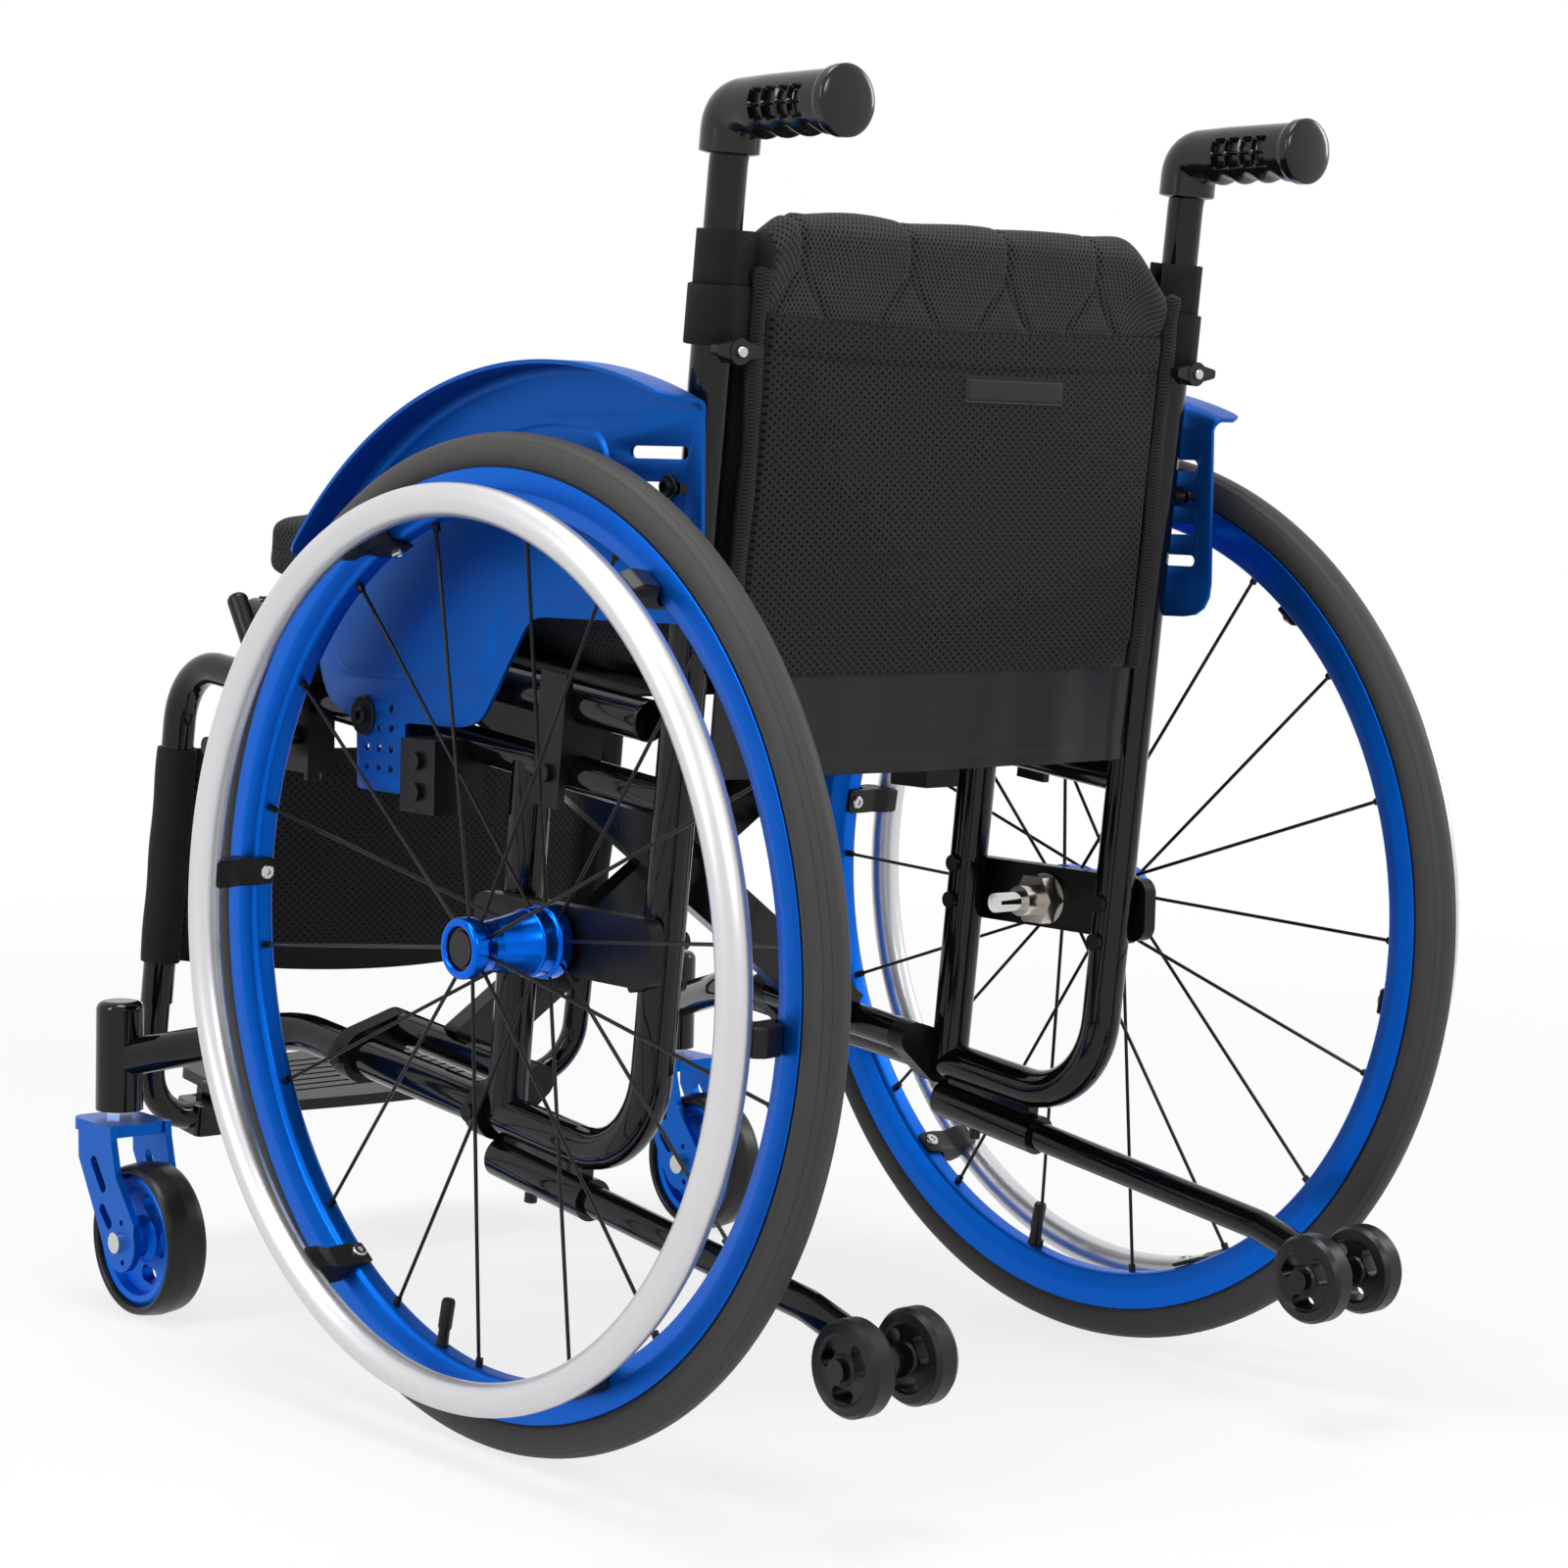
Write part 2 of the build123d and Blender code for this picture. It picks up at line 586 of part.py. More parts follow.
def brake_lever():
    shoe_y, shoe_z = shoe_centre()
    tip_y = LOCK_Y - 52.0
    tip_z = LOCK_Z + 80.0
    root = make_hull([*(Pos(LOCK_Y, LOCK_Z) * Circle(10)).edges(), *(Pos(shoe_y, shoe_z) * Circle(9)).edges()])
    arm = make_hull([*(Pos(LOCK_Y, LOCK_Z) * Circle(9)).edges(), *(Pos(tip_y, tip_z) * Circle(6)).edges()])
    lever = plate_x(root, LOCK_X, LOCK_X + LOCK_PLATE) + plate_x(arm, LOCK_X, LOCK_X + LOCK_PLATE)
    lever += disc_x(shoe_y, shoe_z, LOCK_X, LOCK_SHOE_X, LOCK_SHOE)
    lever -= disc_x(LOCK_Y, LOCK_Z, LOCK_X - 1, LOCK_X + LOCK_PLATE + 1, LOCK_PIN + 2 * RUNNING_FIT)
    middle_x = LOCK_X + LOCK_PLATE / 2
    knob = rod((middle_x, tip_y + 19, tip_z - 29), (middle_x, tip_y - 5, tip_z + 8), 14)
    knob = fillet(knob.edges(), 5) - lever
    return solids_of(lever) + [knob.solids().sort_by(SortBy.VOLUME)[-1]]


# Axle plate with its bolts, and the threaded sleeve that carries the axle

def axle_plate():
    plate = block(PLATE_INNER_X, PLATE_OUTER_X, PLATE_FRONT_Y, PLATE_REAR_Y, PLATE_BOTTOM_Z, PLATE_TOP_Z)
    plate = fillet(plate.edges().filter_by(Axis.X), 10)
    plate -= disc_x(0, AXLE_Z, PLATE_INNER_X, PLATE_OUTER_X, SLEEVE_OUTER)
    pieces = []
    for y, z in plate_bolts():
        plate -= disc_x(y, z, PLATE_INNER_X, PLATE_OUTER_X - 1, BOLT)
        head_x = FRAME_HALF - MAIN_RADIUS
        bolt = disc_x(y, z, head_x, PLATE_OUTER_X - 1, BOLT)
        bolt += disc_x(y, z, head_x - BOLT_HEAD_THICK, head_x, BOLT_HEAD)
        pieces.append(bolt.solid())
    return [plate.solid()] + pieces


def axle_sleeve():
    bore = disc_x(0, AXLE_Z, SLEEVE_INNER_X, SLEEVE_OUTER_X, AXLE + 2 * RUNNING_FIT)
    sleeve = disc_x(0, AXLE_Z, SLEEVE_INNER_X, SLEEVE_OUTER_X, SLEEVE_OUTER) - bore
    washer_x = PLATE_INNER_X - WASHER_THICK
    washer = disc_x(0, AXLE_Z, washer_x, PLATE_INNER_X, WASHER)
    washer -= disc_x(0, AXLE_Z, washer_x, PLATE_INNER_X, SLEEVE_OUTER)
    hexagon = Pos(0, AXLE_Z) * RegularPolygon(NUT_FLATS / 2, 6, major_radius=False)
    nut = plate_x(hexagon, washer_x - NUT_THICK, washer_x)
    nut -= disc_x(0, AXLE_Z, washer_x - NUT_THICK, washer_x, SLEEVE_OUTER)
    return [sleeve.solid(), washer.solid(), nut.solid()]


def axle_pin():
    shank = disc_x(0, AXLE_Z, AXLE_TIP_X, AXLE_HEAD_X, AXLE)
    head = disc_x(0, AXLE_Z, AXLE_HEAD_X, AXLE_HEAD_X + AXLE_HEAD_LENGTH, AXLE_HEAD)
    pin = shank + head
    pin -= disc_x(0, AXLE_Z, AXLE_HEAD_X + HEAD_FLOOR, AXLE_HEAD_X + AXLE_HEAD_LENGTH + 1, BUTTON + 2 * CLEAR)
    pin -= disc_x(0, AXLE_Z, AXLE_TIP_X + 4, AXLE_HEAD_X + 4, PUSH_ROD + 2 * RUNNING_FIT)
    return [pin.solid()]



def hub_button():
    inner_x = AXLE_HEAD_X + HEAD_FLOOR + BUTTON_TRAVEL + CLEAR
    button = disc_x(0, AXLE_Z, inner_x, AXLE_HEAD_X + 11.3, BUTTON)
    button += disc_x(0, AXLE_Z, AXLE_TIP_X + 4 + BUTTON_TRAVEL + CLEAR, inner_x, PUSH_ROD)
    return [button.solid()]


# Rear wheel

def tyre():
    seat = RIM_RADIUS - 5
    half_seat = RIM_WIDTH / 2 - RIM_WALL
    tread = TYRE_RADIUS - 2.4
    half = TYRE_WIDTH / 2
    shoulder = (tread + seat) / 2 + 2
    ring = Polyline((-half_seat, seat), (half_seat, seat), (half_seat, RIM_RADIUS))
    side = ThreePointArc((half_seat, RIM_RADIUS), (half, shoulder), (half - 4.5, tread))
    crown = ThreePointArc((half - 4.5, tread), (0, TYRE_RADIUS), (4.5 - half, tread))
    other = ThreePointArc((4.5 - half, tread), (-half, shoulder), (-half_seat, RIM_RADIUS))
    close = Line((-half_seat, RIM_RADIUS), (-half_seat, seat))
    face = make_face([*ring.edges(), side, crown, other, close])
    return [(Pos(WHEEL_HALF, 0, AXLE_Z) * revolve(face, axis=Axis.X)).solid()]


def rim_profile():
    """Half section of the rim as (x, radius): channel for the tyre above, a deep V below."""
    half = RIM_WIDTH / 2
    seat = RIM_RADIUS - 5
    inner = half - RIM_WALL
    return [(-half, RIM_RADIUS), (-inner, RIM_RADIUS), (-inner, seat), (inner, seat), (inner, RIM_RADIUS),
            (half, RIM_RADIUS), (half, RIM_RADIUS - 13), (half - 3.5, RIM_INNER + 1.5), (half - 6, RIM_INNER),
            (6 - half, RIM_INNER), (3.5 - half, RIM_INNER + 1.5), (-half, RIM_RADIUS - 13)]


def rim_core():
    """The hollow inside the rim."""
    half = RIM_WIDTH / 2 - RIM_WALL
    top = RIM_RADIUS - 5 - RIM_WALL
    return [(-half, top), (half, top), (half, RIM_RADIUS - 13), (half - 3, RIM_INNER + RIM_WALL),
            (3 - half, RIM_INNER + RIM_WALL), (-half, RIM_RADIUS - 13)]


def rim(spoke_start):
    ring = turned(rim_profile()) - turned(rim_core())
    for index in range(SPOKE_COUNT):
        y, z = around(spoke_start + index * 360 / SPOKE_COUNT, 1)
        ring -= rod((0, y * (RIM_INNER - 2), z * (RIM_INNER - 2)),
                    (0, y * (RIM_INNER + RIM_WALL + 0.5), z * (RIM_INNER + RIM_WALL + 0.5)), NIPPLE)
    y, z = around(VALVE_ANGLE, 1)
    ring -= rod((0, y * (RIM_INNER - 2), z * (RIM_INNER - 2)),
                (0, y * (RIM_RADIUS - 2), z * (RIM_RADIUS - 2)), 6)
    valve = rod((0, y * (RIM_INNER - 28), z * (RIM_INNER - 28)),
                (0, y * (RIM_RADIUS - 5.5), z * (RIM_RADIUS - 5.5)), 6)
    valve += rod((0, y * (RIM_INNER - 30), z * (RIM_INNER - 30)),
                 (0, y * (RIM_INNER - 14), z * (RIM_INNER - 14)), 8)
    return [Pos(WHEEL_HALF, 0, AXLE_Z) * piece for piece in (ring.solid(), valve.solid())]


def spoke_root(index):
    """Offset from the wheel plane and radius at which a spoke leaves the hub."""
    if index % 2:
        return 20.0, HUB_WAIST / 2 - 1
    return -31.0, HUB_FLANGE / 2 - 2


def spoke_line(index, spoke_start):
    y, z = around(spoke_start + index * 360 / SPOKE_COUNT, 1)
    offset, radius = spoke_root(index)
    start = Vector(WHEEL_HALF + offset, y * radius, AXLE_Z + z * radius)
    end = Vector(WHEEL_HALF, y * (RIM_INNER + RIM_WALL), AXLE_Z + z * (RIM_INNER + RIM_WALL))
    return start, end


def spokes(spoke_start):
    pieces = []
    for index in range(SPOKE_COUNT):
        start, end = spoke_line(index, spoke_start)
        direction = (end - start).normalized()
        spoke = rod(start, end - direction * 6, SPOKE)
        y, z = around(spoke_start + index * 360 / SPOKE_COUNT, 1)
        nipple = rod((WHEEL_HALF, y * (RIM_INNER - 5), AXLE_Z + z * (RIM_INNER - 5)),
                     (WHEEL_HALF, y * (RIM_INNER + RIM_WALL + 0.5), AXLE_Z + z * (RIM_INNER + RIM_WALL + 0.5)),
                     NIPPLE)
        pieces.append((spoke + nipple).solid())
    return pieces


def hub(spoke_start):
    waist = HUB_WAIST / 2
    flange = HUB_FLANGE / 2
    head = HUB_HEAD / 2
    x0 = HUB_INNER_X
    x1 = HUB_OUTER_X
    profile = [(x0, 7), (x0, 17), (x0 + 1.5, flange - 1), (x0 + 2.5, flange), (x0 + 11, flange),
               (x0 + 12, flange - 1), (x0 + 20, flange - 1.5), (x0 + 33, waist + 2), (x0 + 46, waist),
               (x1 - 14, waist + 0.3),
               (x1 - 11, head - 1), (x1 - 9.5, head), (x1 - 2, head), (x1 - 0.5, head - 1), (x1, head - 2.5),
               (x1, 13.5), (x1 - 1, 12.5), (AXLE_HEAD_X - CLEAR, 12.5), (AXLE_HEAD_X - CLEAR, 7)]
    body = turned(profile, 0, AXLE_Z)
    bearings = []
    for start, outer in ((x0 + 1, 28.0), (AXLE_HEAD_X - CLEAR - 8, 24.0)):
        hole = disc_x(0, AXLE_Z, start, start + 7, outer)
        body -= hole
        bearings.append(hole - disc_x(0, AXLE_Z, start, start + 7, AXLE + 2 * RUNNING_FIT))
    for index in range(SPOKE_COUNT):
        start, end = spoke_line(index, spoke_start)
        direction = (end - start).normalized()
        body -= rod(start, start + direction * 20, SPOKE)
    return [body.solid()] + [ring.solid() for ring in bearings]


def handrim():
    centre = Plane((WHEEL_HALF + HANDRIM_OFFSET, 0, AXLE_Z), z_dir=(1, 0, 0))
    ring = Solid.make_torus(HANDRIM_RADIUS, HANDRIM_TUBE / 2, centre)
    ring -= Solid.make_torus(HANDRIM_RADIUS, HANDRIM_TUBE / 2 - HANDRIM_WALL, centre)
    return [ring.solid()]


def handrim_clips(clip_start):
    centre = Plane((WHEEL_HALF + HANDRIM_OFFSET, 0, AXLE_Z), z_dir=(1, 0, 0))
    tube_body = Solid.make_torus(HANDRIM_RADIUS, HANDRIM_TUBE / 2, centre)
    rim_body = Pos(WHEEL_HALF, 0, AXLE_Z) * turned(rim_profile())
    pieces = []
    for index in range(CLIP_COUNT):
        angle = clip_start + index * 360 / CLIP_COUNT
        clip = block(WHEEL_HALF + 6, WHEEL_HALF + HANDRIM_OFFSET - 3, HANDRIM_RADIUS - CLIP_HEIGHT / 2,
                     HANDRIM_RADIUS + CLIP_HEIGHT, -CLIP_WIDTH / 2, CLIP_WIDTH / 2)
        clip = Pos(0, 0, AXLE_Z) * Rot(angle, 0, 0) * clip
        clip = clip - tube_body - rim_body
        pieces.append(clip.solids().sort_by(SortBy.VOLUME)[-1])
    return pieces


# Caster

def caster_fork():
    half_gap = FORK_GAP / 2
    crown_top = HOUSING_BOTTOM_Z - SPINDLE_NUT - CLEAR
    outline = make_face(Polyline((CASTER_Y - 14, crown_top), (CASTER_Y - 13, crown_top - 26),
                                 (CASTER_Y + 11, 62), (CASTER_AXLE_Y - 19, 44), (CASTER_AXLE_Y + 18, 44),
                                 (CASTER_AXLE_Y + 19, 66), (CASTER_Y + 35, 95), (CASTER_Y + 29, 117),
                                 (CASTER_Y + 28, crown_top), close=True))
    outline += Pos(CASTER_AXLE_Y, CASTER_RADIUS) * Circle(20)
    slot = Pos(CASTER_Y + 13, 93) * Rot(0, 0, -53) * SlotCenterToCenter(19, 8)
    oval = Pos(CASTER_Y + 23, 66) * Rot(0, 0, -45) * SlotCenterToCenter(11, 8)
    outline = outline - slot - oval
    for y, z in ((CASTER_AXLE_Y + 3, CASTER_RADIUS + 13.5), (CASTER_AXLE_Y + 5, CASTER_RADIUS - 13)):
        outline -= Pos(y, z) * Circle(2)
    fork = plate_x(outline, CASTER_X + half_gap, CASTER_X + half_gap + FORK_BLADE)
    fork += plate_x(outline, CASTER_X - half_gap - FORK_BLADE, CASTER_X - half_gap)
    crown = block(CASTER_X - half_gap - FORK_BLADE, CASTER_X + half_gap + FORK_BLADE,
                  CASTER_Y + 28 - CROWN_LENGTH, CASTER_Y + 28, crown_top - CROWN_THICK, crown_top)
    crown = fillet(crown.edges().filter_by(Axis.Z), 10)
    fork += crown
    fork -= disc_x(CASTER_AXLE_Y, CASTER_RADIUS, CASTER_X - 40, CASTER_X + 40, CASTER_BOLT)
    fork -= rod((CASTER_X, CASTER_Y, crown_top - 20), (CASTER_X, CASTER_Y, crown_top), STEM)
    stem_top = HOUSING_TOP_Z - NUT_SPACE + CLEAR
    crown_bottom = crown_top - CROWN_THICK
    stem = rod((CASTER_X, CASTER_Y, crown_bottom - 4), (CASTER_X, CASTER_Y, stem_top + 3.2), STEM)
    stem += rod((CASTER_X, CASTER_Y, crown_bottom - 4), (CASTER_X, CASTER_Y, crown_bottom), 19)
    lower_nut = Pos(CASTER_X, CASTER_Y, crown_top) * extrude(RegularPolygon(STEM_NUT, 6), amount=SPINDLE_NUT)
    lower_nut -= rod((CASTER_X, CASTER_Y, crown_top), (CASTER_X, CASTER_Y, crown_top + 10), STEM)
    upper_nut = Pos(CASTER_X, CASTER_Y, stem_top) * extrude(RegularPolygon(STEM_NUT, 6), amount=3)
    upper_nut -= rod((CASTER_X, CASTER_Y, stem_top), (CASTER_X, CASTER_Y, stem_top + 3), STEM)
    reach = half_gap + FORK_BLADE
    bolt = disc_x(CASTER_AXLE_Y, CASTER_RADIUS, CASTER_X - reach, CASTER_X + reach, CASTER_BOLT)
    for side in (-1, 1):
        face = CASTER_X + side * reach
        bolt += disc_x(CASTER_AXLE_Y, CASTER_RADIUS, face, face + side * 4, 14)
    return [piece.solid() for piece in (fork, stem, lower_nut, upper_nut, bolt)]



def caster_tyre():
    half = CASTER_WIDTH / 2
    hub_radius = CASTER_HUB / 2
    lines = Polyline((half - 4, hub_radius), (-half + 4, hub_radius), (-half + 1, hub_radius + 1))
    edge = CASTER_RADIUS - 1.8
    shoulder = ThreePointArc((-half + 1, hub_radius + 1), (-half, hub_radius + 3.5), (-half + 4, edge))
    crown = ThreePointArc((-half + 4, edge), (0, CASTER_RADIUS), (half - 4, edge))
    other = ThreePointArc((half - 4, edge), (half, hub_radius + 3.5), (half - 1, hub_radius + 1))
    close = Line((half - 1, hub_radius + 1), (half - 4, hub_radius))
    face = make_face([*lines.edges(), shoulder, crown, other, close])
    return [(Pos(CASTER_X, CASTER_AXLE_Y, CASTER_RADIUS) * revolve(face, axis=Axis.X)).solid()]


def caster_hub():
    half = CASTER_HUB_WIDTH / 2
    outer = CASTER_HUB / 2
    boss = FORK_GAP / 2 - CLEAR
    bore = CASTER_BOLT / 2 + RUNNING_FIT
    profile = [(-half + 2, outer), (half - 2, outer), (half, outer - 3), (half - 1, outer - 7), (5, outer - 9),
               (4, 16), (8, 12), (boss, 10), (boss, bore), (-boss, bore), (-boss, 10), (-8, 12), (-4, 16),
               (-5, outer - 9), (1 - half, outer - 7), (-half, outer - 3)]
    body = revolve(make_face(Polyline(*profile, close=True)), axis=Axis.X)
    for index in range(CASTER_OPENINGS):
        angle = index * 360 / CASTER_OPENINGS
        opening = Rot(0, 0, angle) * Pos(24, 0) * Rot(0, 0, 62) * SlotOverall(19, 11)
        body -= plate_x(opening, -10, 10)
    rings = []
    for side in (-1, 1):
        ring = disc_x(0, 0, side * (boss - 6), side * boss, 17)
        body -= ring
        rings.append(ring - disc_x(0, 0, side * (boss - 6), side * boss, 2 * bore))
    place = Pos(CASTER_X, CASTER_AXLE_Y, CASTER_RADIUS)
    return [place * piece.solid() for piece in (body, *rings)]


# Push handle, grip and the wing knob that locks the handle

def handle_points():
    corner = at(FRAME_HALF, CANE_S, HANDLE_CORNER_H)
    return [at(FRAME_HALF, CANE_S, HANDLE_BOTTOM_H), corner, Vector(FRAME_HALF, HANDLE_END_Y, corner.Z)]


def push_handle():
    return [tube(handle_points(), HANDLE_OUTER, HANDLE_WALL, HANDLE_BEND).solid()]


def grip():
    bottom, corner, end = handle_points()
    bar = swept([bottom, corner, end], GRIP_OUTER, HANDLE_BEND)
    bar = bar & block(0, 400, 0, 400, GRIP_BOTTOM_Z, 900)
    closed = rod(end - Vector(0, 2, 0), end + Vector(0, GRIP_FLANGE - 2, 0), GRIP_END)
    closed = fillet(closed.edges(), 2)
    bar += closed
    for index in range(4):
        y = corner.Y + 26 + index * 17
        low = corner.Z - GRIP_OUTER / 2 - 5
        bar -= rod((FRAME_HALF - 30, y, low), (FRAME_HALF + 30, y, low), 16)
    bar -= swept([bottom, corner, end], HANDLE_OUTER, HANDLE_BEND)
    return [bar.solids().sort_by(SortBy.VOLUME)[-1]]


def handle_knob():
    tip = CANE_S + HANDLE_OUTER / 2 + CLEAR
    base = CANE_S + 15.5 + CLEAR
    knob = rod(at(FRAME_HALF, tip, KNOB_H), at(FRAME_HALF, base, KNOB_H), KNOB_SCREW)
    knob += rod(at(FRAME_HALF, base, KNOB_H), at(FRAME_HALF, base + 9, KNOB_H), 15)
    wing = make_face(Polyline((-KNOB_SPAN / 2, 1), (-KNOB_SPAN / 2, 6), (0, 9.5), (KNOB_SPAN / 2, 6),
                              (KNOB_SPAN / 2, 1), (0, -3), close=True))
    wing = fillet(wing.vertices(), 1.8)
    plane = Plane((0, 0, 0), x_dir=(1, 0, 0), z_dir=(0, -1, 0))
    wings = Pos(FRAME_HALF, base + 8.5, KNOB_H - 3) * extrude(plane * wing, amount=6)
    return [(knob + TILTED * wings).solid()]


# Anti-tip arm, its rollers and the snap button

def anti_tip_arm():
    end = Vector(FRAME_HALF, ROLLER_Y, ROLLER_Z)
    points = [socket_point(SOCKET_FRONT_S + 4), socket_point(ARM_BEND_S), end]
    arm = tube(points, ARM_TUBE, ARM_WALL, 60)
    middle, outwards = snap_line()
    reach = (outwards - middle).normalized() * 12
    arm -= rod(middle - reach, middle + reach, SNAP_BUTTON + 2 * CLEAR)
    eye = disc_x(ROLLER_Y, ROLLER_Z, FRAME_HALF - 10, FRAME_HALF + 10, 20)
    arm = (arm - eye) + eye
    arm -= disc_x(ROLLER_Y, ROLLER_Z, FRAME_HALF - 12, FRAME_HALF + 12, ROLLER_BOLT)
    reach = ROLLER_OFFSET + ROLLER_WIDTH / 2 + CLEAR
    bolt = disc_x(ROLLER_Y, ROLLER_Z, FRAME_HALF - reach, FRAME_HALF + reach, ROLLER_BOLT)
    for side in (-1, 1):
        bolt += disc_x(ROLLER_Y, ROLLER_Z, FRAME_HALF + side * reach, FRAME_HALF + side * (reach + 4), 13)
        inner = FRAME_HALF + side * 10
        spacer = ROLLER_OFFSET - ROLLER_WIDTH / 2 - 10 - CLEAR
        bolt += disc_x(ROLLER_Y, ROLLER_Z, inner, inner + side * spacer, 14)
    return [arm.solids().sort_by(SortBy.VOLUME)[-1], bolt.solid()]


def anti_tip_wheels():
    half = ROLLER_WIDTH / 2
    radius = ROLLER / 2
    bore = ROLLER_BOLT / 2 + RUNNING_FIT
    profile = [(-half, bore), (-half, 8), (-half + 1.5, 9), (-half + 1.5, 18.5), (-half, 20),
               (-half + 1, radius - 2), (-half + 4, radius), (half - 4, radius), (half - 1, radius - 2),
               (half, 20), (half - 1.5, 18.5),
               (half - 1.5, 9), (half, 8), (half, bore)]
    wheel = revolve(make_face(Polyline(*profile, close=True)), axis=Axis.X)
    for index in range(3):
        opening = Rot(0, 0, index * 120 + 30) * Pos(13.7, 0) * Rot(0, 0, 90) * SlotOverall(17, 8)
        wheel -= plate_x(opening, -half - 1, half + 1)
    pieces = []
    for side in (-1, 1):
        pieces.append(Pos(FRAME_HALF + side * ROLLER_OFFSET, ROLLER_Y, ROLLER_Z) * wheel.solid())
    return pieces


def anti_tip_button():
    middle, outwards = snap_line()
    direction = (outwards - middle).normalized()
    button = rod(middle + direction * (ARM_TUBE / 2 + 2 * RUNNING_FIT), outwards, SNAP_BUTTON)
    return [button]


# Side guard: formed sheet with a flange over the tyre, slots and hole pattern, and its screws

def guard_screws():
    """Places (y, z) of the two guard screws: on the upper side tube and on the cane."""
    front = at(0, -211, SIDE_H + 4)
    rear = at(0, CANE_S, 275.5)
    return (front.Y, front.Z), (rear.Y, rear.Z)


def circle_through(a, b, c):
    """Centre and radius of the circle through three points of a plane."""
    d = 2 * (a[0] * (b[1] - c[1]) + b[0] * (c[1] - a[1]) + c[0] * (a[1] - b[1]))
    u = ((a[0]**2 + a[1]**2) * (b[1] - c[1]) + (b[0]**2 + b[1]**2) * (c[1] - a[1])
         + (c[0]**2 + c[1]**2) * (a[1] - b[1])) / d
    v = ((a[0]**2 + a[1]**2) * (c[0] - b[0]) + (b[0]**2 + b[1]**2) * (a[0] - c[0])
         + (c[0]**2 + c[1]**2) * (b[0] - a[0])) / d
    return (u, v), math.hypot(a[0] - u, a[1] - v)



def side_guard():
    arc = ThreePointArc(*CREST)
    edges = Polyline(CREST[2], *GUARD_SHOULDERS, *GUARD_TAB, CREST[0])
    outline = make_face([arc, *edges.edges()])
    rounded = [v for v in outline.vertices() if v.Y < 520 and v.Y > 400]
    outline = fillet(rounded, GUARD_CORNER)
    for row in range(SLOT_COUNT):
        outline -= Pos(SLOT_Y, SLOT_Z + SLOT_PITCH * row) * SlotOverall(SLOT_LENGTH, SLOT_WIDTH)
    for y, z in TAB_HOLES:
        outline -= Pos(y, z) * Circle(TAB_HOLE / 2)
    guard = plate_x(outline, GUARD_X, GUARD_X + GUARD_THICK)
    centre, radius = circle_through(*CREST)
    inner = [(centre[0] + (p[0] - centre[0]) * (1 - GUARD_THICK / radius),
              centre[1] + (p[1] - centre[1]) * (1 - GUARD_THICK / radius)) for p in CREST]
    band = make_face([ThreePointArc(*CREST), Line(CREST[2], inner[2]), ThreePointArc(*reversed(inner)),
                      Line(inner[0], CREST[0])])
    guard += plate_x(band, GUARD_X, GUARD_X + GUARD_FLANGE)
    pieces = []
    for index, (y, z) in enumerate(guard_screws()):
        guard -= disc_x(y, z, GUARD_X - 1, GUARD_X + GUARD_THICK + 1, BOLT)
        root = FRAME_HALF + (SIDE_RADIUS if index == 0 else MAIN_RADIUS)
        carrier = rod(*side_axis(), SIDE_OUTER) if index == 0 else rod(*cane_axis(), MAIN_OUTER)
        spacer = disc_x(y, z, FRAME_HALF, GUARD_X, 13) - carrier
        spacer -= disc_x(y, z, FRAME_HALF, GUARD_X, BOLT)
        pieces.append(spacer.solids().sort_by(SortBy.VOLUME)[-1])
        outer = GUARD_X + GUARD_THICK
        screw = disc_x(y, z, root - 0.6, outer, BOLT)
        if index == 0:
            screw -= carrier
        screw += disc_x(y, z, outer, outer + 2, GUARD_WASHERS[index])
        screw += disc_x(y, z, outer + 2, outer + 5, 10)
        pieces.append(screw.solids().sort_by(SortBy.VOLUME)[-1])
    return [guard.solid()] + pieces


# Seat rails and the two arms of the cross brace

def seat_rail():
    ends = [at(FRAME_HALF, RAIL_FRONT_S, RAIL_H), at(FRAME_HALF, RAIL_REAR_S, RAIL_H)]
    rail = tube(ends, RAIL_OUTER, RAIL_WALL)
    pieces = [rail.solid()]
    for end, way in ((RAIL_FRONT_S, -1), (RAIL_REAR_S, 1)):
        plug = rod(at(FRAME_HALF, end, RAIL_H), at(FRAME_HALF, end + way * RAIL_PLUG, RAIL_H), RAIL_OUTER)
        rims = plug.edges().filter_by(GeomType.CIRCLE).sort_by(Axis.Y)
        plug = fillet(rims[-1 if way > 0 else 0], 1.5)
        inside = at(FRAME_HALF, end - way * 12, RAIL_H)
        plug += rod(inside, at(FRAME_HALF, end, RAIL_H), RAIL_OUTER - 2 * RAIL_WALL)
        pieces.append(plug.solid())
    return pieces


def centre_h():
    """Height in the frame at which the two brace arms cross, at X = 0."""
    return PIVOT_H + (RAIL_H - PIVOT_H) * PIVOT_X / (PIVOT_X + FRAME_HALF)


